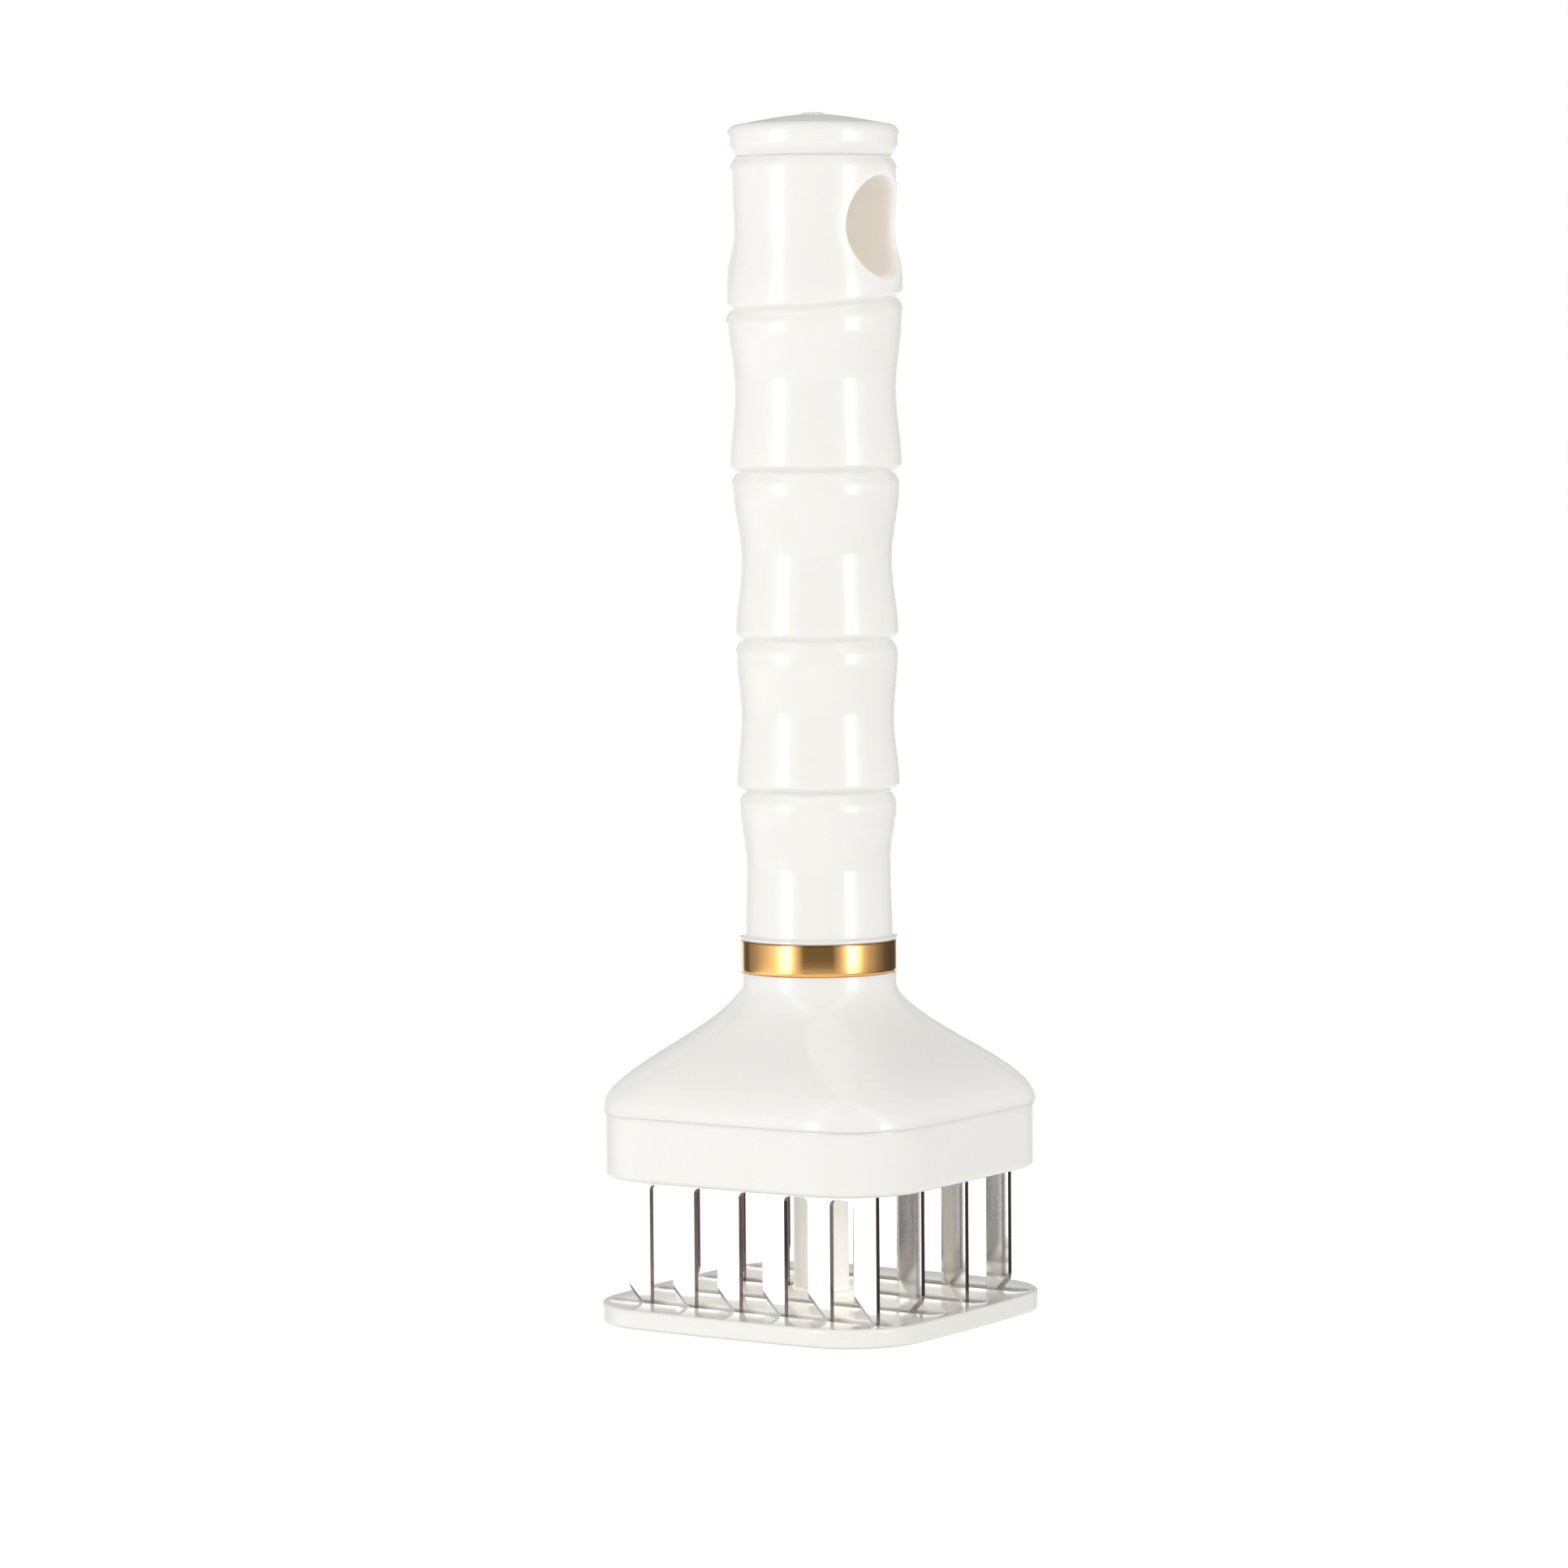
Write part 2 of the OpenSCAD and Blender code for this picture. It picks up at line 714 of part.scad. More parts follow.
module guard_plate() {
    half = plate_w / 2;
    low = [
        for (a = [0:30:90])
            let (draw = plate_edge * (1 - sin(a)))
                [plate_edge * (1 - cos(a)), half - draw, plate_r - draw, plate_bow]
    ];
    high = [for (i = [len(low) - 1:-1:0]) [plate_t - low[i][0], low[i][1], low[i][2], plate_bow]];
    color(warm_white)
        difference() {
            union() {
                loft(concat(low, high));
                translate([0, 0, plate_t - sink])
                    cylinder(
                        r = post_r + seat_fit + collar_wall,
                        h = collar_h + sink,
                        $fn = round_fn
                    );
            }
            for (i = [0:rows - 1])
                translate([0, row_y(i), -over])
                    linear_extrude(plate_t + collar_h + 2 * over)
                        slot_outline();
            translate([0, 0, plate_t])
                cylinder(r = post_r + seat_fit, h = collar_h + over, $fn = round_fn);
            translate([0, 0, -over])
                cylinder(r = shaft_hole_r + pass_fit / 2, h = plate_t + 2 * over, $fn = small_fn);
            translate([0, 0, -over])
                cylinder(r = head_r + pass_fit / 2, h = head_h + pass_fit + over, $fn = small_fn);
        }
}

// Long slot with round ends
module slot_outline() {
    mid = slot_l - slot_w;
    square([mid, slot_w], center = true);
    for (x = [-1, 1])
        translate([x * mid / 2, 0])
            circle(d = slot_w, $fn = small_fn);
}

module guard_post() {
    color(warm_white)
        difference() {
            translate([0, 0, plate_t])
                cylinder(r = post_r, h = stop_z - plate_t, $fn = round_fn);
            for (z = [plate_t - over, stop_z - grip_l - sink])
                translate([0, 0, z])
                    cylinder(r = shaft_hole_r, h = grip_l + sink + over, $fn = small_fn);
        }
}

module stop_washer() {
    color(steel)
        translate([0, 0, stop_z])
            difference() {
                cylinder(r = washer_r, h = washer_t, $fn = round_fn);
                translate([0, 0, -over])
                    cylinder(r = shaft_hole_r, h = washer_t + 2 * over, $fn = small_fn);
            }
}

module stop_screw() {
    color(dark_steel)
        translate([0, 0, washer_top])
            rotate([180, 0, 0])
                screw(washer_t + grip_l);
}

module plate_screw() {
    seat = head_h + pass_fit;
    color(dark_steel)
        translate([0, 0, seat])
            screw(plate_t - seat + grip_l);
}

// Height of the wire's middle after u turns: the end turns lie closer than the others
close_pitch = 2 * wire_r + 0.5;
open_pitch = (spring_h - 2 * wire_r - 2 * seat_fit - 2 * close_pitch) / (spring_turns - 2);
function coil_z(u) =
    u < 1 ? close_pitch * u
    : u > spring_turns - 1 ? close_pitch * (u - spring_turns + 2) + open_pitch * (spring_turns - 2)
    : close_pitch + open_pitch * (u - 1);
function coil_point(u) = [
    wire_turn_r * cos(360 * u), wire_turn_r * sin(360 * u), coil_z(u)
];

turn_steps = 12;
module return_spring() {
    rings = turn_steps * spring_turns;
    sides = 6;
    base = washer_top + seat_fit + wire_r;
    points = [
        for (k = [0:rings])
            let (u = k / turn_steps, c = coil_point(u), out = [cos(360 * u), sin(360 * u), 0])
                for (j = [0:sides - 1])
                    let (a = 360 * j / sides)
                        c + wire_r * (cos(a) * out + sin(a) * [0, 0, 1])
    ];
    skin = [
        for (k = [0:rings - 1])
            for (j = [0:sides - 1])
                for (f = [
                    [k * sides + j, (k + 1) * sides + j, (k + 1) * sides + (j + 1) % sides],
                    [k * sides + j, (k + 1) * sides + (j + 1) % sides, k * sides + (j + 1) % sides]
                ]) f
    ];
    first = [[for (j = [0:sides - 1]) j]];
    last = [[for (j = [sides - 1:-1:0]) rings * sides + j]];
    color(steel)
        translate([0, 0, base])
            polyhedron(points = points, faces = concat(first, skin, last), convexity = 10);
}

// Least gap between neighbouring turns, measured between points of the wire
turn_gaps = [
    for (k = [0:turn_steps * (spring_turns - 1)])
        norm(coil_point(k / turn_steps + 1) - coil_point(k / turn_steps)) - 2 * wire_r
];
echo(least_gap_between_turns = min(turn_gaps));
echo(travel_of_the_guard = guard_gap - home_gap);

module spring_seat() {
    pilot_r = spring_r - 2 * wire_r - pass_fit;
    color("#e4e2da") {
        translate([0, 0, seat_z])
            cylinder(r = bore_r - seat_fit, h = seat_t, $fn = round_fn);
        translate([0, 0, seat_z - pilot_h])
            cylinder(r = pilot_r, h = pilot_h + sink, $fn = round_fn);
    }
}

handle_body();
end_cap();
collar_ring();
head_shell();
head_base();
guide_bush();
blade_comb(0);  // blade_comb_1
blade_comb(1);  // blade_comb_2
blade_comb(2);  // blade_comb_3
blade_comb(3);  // blade_comb_4
comb_rods();
comb_spacers();
base_screws();
guard_plate();
guard_post();
stop_washer();
stop_screw();
plate_screw();
return_spring();
spring_seat();
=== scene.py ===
"""Needle meat tenderizer, dressed for a studio picture.

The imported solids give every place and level. Each operator below makes one piece, or one group of
like pieces, in metres and in the frame of the solids: +Z up the handle, X along the blade combs
and Y across the four rows. A profile is a list of (height, radius)."""

import json
from math import atan2, cos, exp, hypot, pi, radians, sin, sqrt

import bmesh
import bpy
from bpy.props import FloatProperty, FloatVectorProperty, IntProperty, PointerProperty
from mathutils import Matrix, Vector


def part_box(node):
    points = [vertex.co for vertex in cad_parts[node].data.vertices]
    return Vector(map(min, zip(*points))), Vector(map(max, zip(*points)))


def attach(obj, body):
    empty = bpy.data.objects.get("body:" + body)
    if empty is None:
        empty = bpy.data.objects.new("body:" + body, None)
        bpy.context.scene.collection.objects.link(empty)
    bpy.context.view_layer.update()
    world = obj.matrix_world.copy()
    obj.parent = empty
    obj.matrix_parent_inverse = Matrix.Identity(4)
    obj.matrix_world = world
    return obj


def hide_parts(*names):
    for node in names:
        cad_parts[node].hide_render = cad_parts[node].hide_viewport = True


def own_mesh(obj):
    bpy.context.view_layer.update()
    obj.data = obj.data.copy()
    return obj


bl_info = {
    "name": "Needle meat tenderizer",
    "version": (1, 0, 0),
    "blender": (4, 5, 0),
    "location": "3D View > Sidebar > Tenderizer",
    "description": "Builds the pieces, finishes and studio of a needle meat tenderizer",
    "category": "Object",
}

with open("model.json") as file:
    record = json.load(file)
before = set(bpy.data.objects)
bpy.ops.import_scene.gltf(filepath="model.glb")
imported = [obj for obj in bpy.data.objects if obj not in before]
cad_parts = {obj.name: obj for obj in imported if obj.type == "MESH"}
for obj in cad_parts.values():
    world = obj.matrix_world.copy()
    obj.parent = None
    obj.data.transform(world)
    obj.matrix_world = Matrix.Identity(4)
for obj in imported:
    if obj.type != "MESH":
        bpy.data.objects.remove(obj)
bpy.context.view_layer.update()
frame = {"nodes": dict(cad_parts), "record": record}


def low(node):
    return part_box(node)[0]


def high(node):
    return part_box(node)[1]


# Levels that the solids give, from the worktop up
PLATE_TOP = low("guard_post").z
SKIRT_Z = low("head_base").z
SPIGOT_Z = low("handle_body").z
WEB_Z = low("guide_bush").z
NECK_Z = low("collar_ring").z
HANDLE_Z = high("collar_ring").z
BORE_TOP = high("spring_seat").z
HANDLE_TOP = high("handle_body").z
TOOL_TOP = high("end_cap").z
HANG_Z = frame["record"]["mounts"][0]["pos_m"][2]

# Places of the combs, of the rods through them and of the base's screws
COMBS = ["blade_comb_1", "blade_comb_2", "blade_comb_3", "blade_comb_4"]
ROWS = [(low(comb).y + high(comb).y) / 2 for comb in COMBS]
COMB_END = high("blade_comb_1").x
ROD_R = 0.00125
ROD_X = (high("comb_rods").x - low("comb_rods").x) / 2 - ROD_R
ROD_Z = (high("comb_rods").z + low("comb_rods").z) / 2
SCREW_HEAD_R = 0.0021
SCREW_X = high("base_screws").x - SCREW_HEAD_R
SCREW_Y = high("base_screws").y - SCREW_HEAD_R

# Radii of the screws' holes, and clearance between pieces that stay put
HEAD_HOLE_R = 0.00225
SHANK_HOLE_R = 0.00125
FIT = 0.00005


# Sizes and colours


def size(name, description, default):
    return FloatProperty(
        name=name, description=description, default=default, min=0.0, unit="LENGTH", precision=5
    )


def sizes(name, description, default):
    return FloatVectorProperty(
        name=name, description=description, default=default, size=len(default), min=0.0,
        unit="LENGTH", precision=5,
    )


def number(name, description, default):
    return FloatProperty(name=name, description=description, default=default)


def angle(name, description, default):
    return FloatProperty(name=name, description=description, default=default, subtype="ANGLE")


def power(name, description, default):
    return FloatProperty(name=name, description=description, default=default, unit="POWER")


def colour(name, description, default):
    return FloatVectorProperty(
        name=name, description=description, default=default, size=3, min=0.0, max=1.0,
        subtype="COLOR",
    )


class HandleSizes(bpy.types.PropertyGroup):
    shares: FloatVectorProperty(
        name="Segment shares", description="Share of the handle that each segment takes",
        default=(22.5, 23.0, 25.4, 25.6, 22.0), size=5, min=1.0,
    )
    lip_low: sizes(
        "Lower lips", "Radius of each segment at its lower lip",
        (0.0115, 0.01275, 0.0127, 0.0134, 0.01375),
    )
    waist: sizes(
        "Waists", "Radius of each segment at its waist",
        (0.01125, 0.01195, 0.01175, 0.01255, 0.0125),
    )
    lip_high: sizes(
        "Upper lips", "Radius of each segment at its upper lip",
        (0.01225, 0.0126, 0.013, 0.01355, 0.01275),
    )
    groove_deep: size("Groove depth", "Depth of the groove between two segments", 0.0009)
    groove_above: size("Lower lip turn", "Height over which a lower lip turns into it", 0.0012)
    groove_below: size("Upper lip turn", "Height over which an upper lip turns into it", 0.0021)
    groove_round: number("Groove rounding", "Its bottom's rounding, as a share of those", 0.14)
    foot_turn: size("Foot turn", "Radius by which the lowest segment turns out to its lip", 0.00045)
    foot_lip: size("Foot lip radius", "Radius of the thin lip under the lowest segment", 0.0121)
    foot_lip_up: size("Foot lip height", "Height of that lip", 0.00045)
    spigot: size("Spigot radius", "Radius of the spigot under the handle", 0.009)
    bore: size("Bore radius", "Radius of the bore that holds the spring", 0.007)
    hang: size("Hang hole radius", "Radius of the hole through the top segment", 0.00675)
    hang_up: size("Hang hole, up", "Half height of the hole, which is a little taller", 0.0074)
    mouth_near: size("Hang hole mouth, front", "Half width of the mouth to the front", 0.0071)
    mouth_far: size("Hang hole mouth, back", "Half width of the mouth to the back", 0.0086)
    mouth_up: size("Hang hole mouth, up", "Half height of the mouth", 0.0086)
    hang_deep: size("Hang hole mouth", "Depth over which the mouth turns inwards", 0.0024)
    lean_x: number("Groove lean along X", "Slope of the leaning groove along X", 0.013)
    lean_y: number("Groove lean along Y", "Slope of the leaning groove along Y", 0.106)
    lean_reach: size("Groove lean reach", "Height over which that slope fades out", 0.006)


class CapSizes(bpy.types.PropertyGroup):
    radius: size("Radius", "Radius of the end cap", 0.0131)
    rim: size("Rim height", "Height of the cap's rim", 0.0049)
    round_low: size("Lower rounding", "Rounding of the rim's lower edge", 0.0019)
    round_high: size("Upper rounding", "Rounding of the rim's upper edge", 0.0018)
    dome: size("Dome rise", "Rise of the shallow dome", 0.0015)
    nib: size("Nib radius", "Radius of the nib in the middle of the dome", 0.0017)
    plug: size("Plug radius", "Radius of the plug under the cap", 0.004)
    plug_deep: size("Plug depth", "Depth of that plug", 0.0012)


class CollarSizes(bpy.types.PropertyGroup):
    radius: size("Radius", "Greatest radius of the gold ring", 0.01205)
    bore: size("Bore radius", "Radius of the ring's bore", 0.00905)
    crown: size("Crown", "How far the edges draw in from the middle", 0.00001)
    edge: size("Edge rounding", "Rounding of the two edges", 0.00035)


class HeadSizes(bpy.types.PropertyGroup):
    width: size("Width", "Width of the skirt across its flats", 0.055)
    corner: size("Corner radius", "Corner radius of the skirt", 0.0127)
    bow: size("Bow", "Sagitta of each side", 0.0005)
    skirt: size("Skirt height", "Height of the skirt up to the parting line", 0.00985)
    wall: size("Wall", "Wall of the skirt and the shell", 0.0022)
    lap: size("Lap", "How far the shell's rim overhangs the skirt", 0.00025)
    neck: size("Neck radius", "Radius of the neck", 0.012)
    swell_low: size("Lower swell", "Height over which the bell stays full at its rim", 0.0061)
    swell_high: size("Upper swell", "Height over which it stays slim at its neck", 0.0063)
    edge: size("Edge rounding", "Rounding of the skirt's lower edge", 0.0008)
    floor_up: size("Floor inset", "How far the floor lies above the lower edge", 0.00105)
    floor: size("Floor thickness", "Thickness of the floor that the combs pass through", 0.0024)
    web: size("Web thickness", "Thickness of the web that carries the bush", 0.0021)
    sleeve: size("Sleeve hole", "Radius of the hole in that web", 0.00565)
    lip: size("Lip thickness", "Thickness of the lip that centres the shell", 0.0011)
    lip_up: size("Lip height", "Height of that lip above the parting line", 0.0013)
    lip_down: size("Lip root", "How far that lip reaches below the parting line", 0.002)


class BladeSizes(bpy.types.PropertyGroup):
    tines: IntProperty(name="Tines", description="Tines on each comb", default=6, min=2)
    width: size("Tine width", "Width of a tine", 0.004)
    thick: size("Sheet thickness", "Thickness of the comb sheet", 0.00095)
    gap: size("Gap corner", "Corner radius at the top of a gap", 0.0009)
    gap_below: size("Gap top", "How far the gaps' upper ends lie below the skirt", 0.00135)
    skew: size("Tip skew", "How much shorter a comb's last tine is than its first", 0.00125)
    bevel: size("Bevel height", "Height of the slanted tip", 0.0034)
    flat: size("Tip flat", "Width of the flat left at a tip", 0.0009)
    facet: size("Facet width", "Width of the ground facets along a slant", 0.00064)
    edge: size("Cutting edge", "Thickness left between the two facets", 0.0002)
    rolled: size("Rolled edge", "Greatest rounding left on the edges by the press", 0.00024)
    rod_hole: size("Rod hole", "Radius of the holes for the rods", 0.0013)


class GuardSizes(bpy.types.PropertyGroup):
    width: size("Width", "Width of the guard plate across its flats", 0.056)
    corner: size("Corner radius", "Corner radius of the guard plate", 0.0122)
    bow: size("Bow", "Sagitta of each side", 0.0012)
    edge: size("Rim rounding", "Rounding of the plate's rim", 0.0005)
    slot: size("Slot width", "Width of the slots", 0.0034)
    slot_end: size("Slot end", "How far a slot runs past the outer tines", 0.0032)
    slot_edge: size("Slot rounding", "Rounding of the slots' edges", 0.0002)
    post: size("Post radius", "Radius of the guide post", 0.00425)
    post_bore: size("Post bore", "Radius of the screw holes in the post's ends", 0.00115)
    bore_deep: size("Post bore depth", "Depth of those holes", 0.0075)
    collar: size("Collar radius", "Outer radius of the collar round the post's foot", 0.0053)
    collar_up: size("Collar height", "Height of that collar", 0.0011)


class SpringSizes(bpy.types.PropertyGroup):
    wire: size("Wire radius", "Radius of the spring's wire", 0.0004)
    turns: IntProperty(name="Turns", description="Turns of the spring", default=12, min=3)
    close_pitch: size("End pitch", "Pitch of the closer turn at each end", 0.0013)


class Finishes(bpy.types.PropertyGroup):
    body: colour("Body", "Colour of the warm white mouldings", (0.93, 0.915, 0.88))
    body_deep: colour("Body, deeper", "Their colour where the skin is thicker", (0.92, 0.9, 0.855))
    guard: colour("Guard", "Colour of the guard plate", (0.92, 0.91, 0.875))
    inner: colour("Inner", "Colour of the inner mouldings", (0.8, 0.79, 0.74))
    # Painted light: the two glows below are emission that lightens the shaded hang hole and the
    # shade under the head
    painted_hole_glow: colour("Hole glow", "Light passed on into the hang hole", (0.075, 0.058, 0.04))
    painted_guard_glow: colour("Guard glow", "Light passed on under the head", (0.3, 0.285, 0.25))
    gold: colour("Gold", "Colour of the plated ring", (0.92, 0.51, 0.155))
    gold_deep: colour("Gold, deeper", "Its colour where the plating is thin", (0.86, 0.44, 0.12))
    blade: colour("Blade", "Colour of the polished blades", (0.84, 0.83, 0.815))
    blade_deep: colour("Blade, deeper", "Their colour in the rolling streaks", (0.76, 0.75, 0.735))
    facet: colour("Facet", "Colour of the ground facets", (0.56, 0.55, 0.54))
    # Partly painted shade: the sheared colour is dark for the duller cut steel, and it also darkens
    # the blades' rolled roundings into dark outlines along the edges
    sheared_and_painted_shade: colour("Sheared edge", "Colour of the blades' narrow cut edges", (0.3, 0.25, 0.25))
    drawn: colour("Drawn steel", "Colour of rods, washer and spring", (0.56, 0.57, 0.58))
    zinc: colour("Zinc", "Colour of the screws", (0.6, 0.61, 0.64))


class StudioSettings(bpy.types.PropertyGroup):
    azimuth: angle("Azimuth", "Camera's turn from the front towards +X", 0.5776)
    distance: size("Distance", "Distance from the handle's axis to the camera", 0.8445)
    height: size("Height", "Camera's height above the worktop", 0.1393)
    pitch: angle("Pitch", "Camera's tilt, upwards positive", -0.0686)
    roll: angle("Roll", "Camera's roll about its own axis", -0.0073)
    lens: FloatProperty(
        name="Lens", description="Focal length on a 36 mm sensor", default=127.58, unit="CAMERA"
    )
    shift: number("Shift", "Sideways shift of the frame", -0.0215)
    key: power("Key", "Power of the broad lamp at the left", 3.0)
    fill: power("Fill", "Power of the broad lamp at the right", 2.4)
    strip: power("Strips", "Power of the two nearer, narrower lamps", 0.34)
    around: number("Around", "Strength of the even light from all round", 0.815)
    overhead: number("Overhead", "Share of that light that comes from straight above", 0.74)


class TenderizerSettings(bpy.types.PropertyGroup):
    handle: PointerProperty(type=HandleSizes)
    cap: PointerProperty(type=CapSizes)
    collar: PointerProperty(type=CollarSizes)
    head: PointerProperty(type=HeadSizes)
    blade: PointerProperty(type=BladeSizes)
    guard: PointerProperty(type=GuardSizes)
    spring: PointerProperty(type=SpringSizes)
    finish: PointerProperty(type=Finishes)
    studio: PointerProperty(type=StudioSettings)


# Shapes


def reach(turn, half, corner, bow):
    """Distance from the centre of a bowed, rounded square to its edge, in one direction."""
    side = (half * half + bow * bow) / (2 * bow)
    e = half - side
    c = (e + sqrt(2 * (side - corner) ** 2 - e * e)) / 2
    meets = atan2(c, c - e)
    change = atan2(side * sin(meets), e + side * cos(meets))
    b = turn % (pi / 2)
    b = pi / 2 - b if b > pi / 4 else b
    if b < change:
        return e * cos(b) + sqrt(side * side - (e * sin(b)) ** 2)
    d = c * (cos(b) + sin(b))
    return d + sqrt(max(d * d - 2 * c * c + corner * corner, 0.0))


def square_place(levels, bow):
    """Puts ring k of a stack on a bowed square; a level is (height, half width, corner radius)."""
    def place(k, turn):
        z, half, corner = levels[k]
        r = reach(turn, half, corner, bow)
        return Vector((r * cos(turn), r * sin(turn), z))
    return place


def round_place(profile, x=0.0, y=0.0, stretch=0.0):
    """Puts ring k of a stack on a circle, or on a slot if stretch parts its two halves."""
    def place(k, turn):
        z, r = profile[k]
        away = stretch if cos(turn) > 0 else -stretch
        return Vector((x + away + r * cos(turn), y + r * sin(turn), z))
    return place


def rounded(z, r, up, out, steps):
    """Quarter round from a flat face at height z to an upright one at radius r, as a profile."""
    turns = [pi / 2 * i / steps for i in range(steps + 1)]
    return [(z + up * (1 - cos(a)), r - out * (1 - sin(a))) for a in turns]


def cornered(profile, half, corner):
    """Levels of a square stack, whose corner radius shrinks as much as its half width does."""
    return [(z, r, corner - half + r) for z, r in profile]


def spun(bm, verts, closed, steps):
    pairs = list(zip(verts, verts[1:])) + ([(verts[-1], verts[0])] if closed else [])
    bmesh.ops.spin(
        bm, geom=verts + [bm.edges.new(pair) for pair in pairs], cent=(0, 0, 0), axis=(0, 0, 1),
        angle=2 * pi, steps=steps, use_merge=True,
    )


def stack(bm, levels, steps, place, closed=False, offset=0.0):
    """A strip spun right round, whose ring k then goes to place(k, turn). Returns its rings."""
    before = set(bm.verts)
    start = [bm.verts.new((cos(offset), sin(offset), k)) for k in range(levels)]
    spun(bm, start, closed, steps)
    rings = [[] for _ in range(levels)]
    for vert in bm.verts:
        if vert not in before:
            rings[round(vert.co.z)].append(vert)
    for k, ring in enumerate(rings):
        for vert in ring:
            vert.co = place(k, atan2(vert.co.y, vert.co.x))
    return rings


def turned(bm, profile, steps):
    """A turned solid from a profile that starts and ends on the axis."""
    spun(bm, [bm.verts.new((r, 0, z)) for z, r in profile], False, steps)


def ring_edges(ring):
    inside = set(ring)
    return list({e for v in ring for e in v.link_edges if e.other_vert(v) in inside})


def fill_between(bm, rings, up):
    """Fills a flat face that is bounded by rings, the holes in it among them."""
    edges = [e for ring in rings for e in ring_edges(ring)]
    bmesh.ops.triangle_fill(bm, use_beauty=True, edges=edges, normal=(0, 0, up))


def finished(bm, name, materials, body, nodes, crease=32):
    """Closes the seams, turns the faces outwards and hands the piece to its body."""
    bmesh.ops.remove_doubles(bm, verts=bm.verts, dist=1e-6)
    bmesh.ops.recalc_face_normals(bm, faces=bm.faces)
    for face in bm.faces:
        face.smooth = True
    mesh = bpy.data.meshes.new(name)
    bm.to_mesh(mesh)
    bm.free()
    mesh.set_sharp_from_angle(angle=radians(crease))
    for material in materials:
        mesh.materials.append(material)
    piece = bpy.data.objects.new(name, mesh)
    bpy.context.scene.collection.objects.link(piece)
    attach(piece, body)
    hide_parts(*nodes)
    return piece


# Finishes


def feed(tree, socket, value):
    """Links a socket to another one, or sets it to a value."""
    if isinstance(value, bpy.types.NodeSocket):
        tree.links.new(value, socket)
    else:
        socket.default_value = value


def add(tree, kind, settings=None, **inputs):
    """A node with its settings, and with inputs by socket name as values or links."""
    node = tree.nodes.new(kind)
    for key, value in (settings or {}).items():
        setattr(node, key, value)
    for label, value in inputs.items():
        feed(tree, node.inputs[label.replace("_", " ")], value)
    return node


def maths(tree, operation, *values, kind="ShaderNodeMath", clamp=False):
    node = add(tree, kind, {"operation": operation})
    if clamp:
        node.use_clamp = True
    for socket, value in zip(node.inputs, values):
        feed(tree, socket, value)
    return node.outputs[0]


def vector_maths(tree, operation, first, second):
    return maths(tree, operation, first, second, kind="ShaderNodeVectorMath")


def blended(tree, share, first, second):
    node = add(tree, "ShaderNodeMix", {"data_type": "RGBA"})
    for place, value in ((0, share), (6, first), (7, second)):
        feed(tree, node.inputs[place], value)
    return node.outputs[2]


def fade(tree, value, start, stop, first, last):
    """Smooth change from first to last as a value goes from start to stop."""
    return add(
        tree, "ShaderNodeMapRange", {"interpolation_type": "SMOOTHSTEP"}, Value=value,
        From_Min=start, From_Max=stop, To_Min=first, To_Max=last,
    ).outputs["Result"]


def object_place(tree):
    return tree.nodes.new("ShaderNodeTexCoord").outputs["Object"]


def effect(name, inputs, outputs):
    """A new node group with its sockets by name, its inner ends and its object coordinates."""
    group = bpy.data.node_groups.new(name, "ShaderNodeTree")
    kinds = {1: "NodeSocketFloat", 3: "NodeSocketVector", 4: "NodeSocketColor"}
    for label, default in inputs.items():
        kind = kinds[1 if isinstance(default, float) else len(default)]
        socket = group.interface.new_socket(name=label, in_out="INPUT", socket_type=kind)
        socket.default_value = default
    for label, parts in outputs.items():
        group.interface.new_socket(name=label, in_out="OUTPUT", socket_type=kinds[parts])
    source = group.nodes.new("NodeGroupInput").outputs
    result = group.nodes.new("NodeGroupOutput").inputs
    return group, source, result, object_place(group)


def moulded_skin():
    """Slow drift of tone, roughness and height over an injection moulding."""
    name = "moulded skin"
    if name in bpy.data.node_groups:
        return bpy.data.node_groups[name]
    group, source, result, place = effect(
        name,
        {
            "Tone": (1, 1, 1, 1), "Deep tone": (1, 1, 1, 1), "Roughness": 0.15, "Drift": 0.03,
            "Patch size": 60.0, "Peel size": 700.0,
        },
        {"Colour": 4, "Roughness": 1, "Height": 1},
    )
    patch = add(group, "ShaderNodeTexNoise", Vector=place, Scale=source["Patch size"], Detail=3.0)
    peel = add(group, "ShaderNodeTexNoise", Vector=place, Scale=source["Peel size"], Detail=1.5)
    tone = blended(group, patch.outputs["Fac"], source["Tone"], source["Deep tone"])
    swing = maths(group, "SUBTRACT", patch.outputs["Fac"], 0.5)
    drift = maths(group, "MULTIPLY", swing, source["Drift"])
    feed(group, result["Colour"], tone)
    feed(group, result["Roughness"], maths(group, "ADD", source["Roughness"], drift, clamp=True))
    feed(group, result["Height"], peel.outputs["Fac"])
    return group


def hairlines():
    """Fine scratches along one axis, as a mask and as a height."""
    name = "hairlines"
    if name in bpy.data.node_groups:
        return bpy.data.node_groups[name]
    group, source, result, place = effect(
        name, {"Across": (1.0, 1.0, 1.0), "Density": 0.5}, {"Mask": 1, "Height": 1}
    )
    drawn = vector_maths(group, "MULTIPLY", place, source["Across"])
    lines = add(
        group, "ShaderNodeTexNoise", Vector=drawn, Scale=1.0, Detail=4.0, Roughness=0.65
    ).outputs["Fac"]
    wear = add(group, "ShaderNodeTexNoise", Vector=place, Scale=160.0, Detail=2.0).outputs["Fac"]
    edge = maths(group, "SUBTRACT", 1.0, source["Density"])
    sharp = maths(group, "SUBTRACT", lines, edge, clamp=True)
    strong = maths(group, "MULTIPLY", sharp, 3.0, clamp=True)
    feed(group, result["Mask"], maths(group, "MULTIPLY", strong, wear))
    feed(group, result["Height"], lines)
    return group


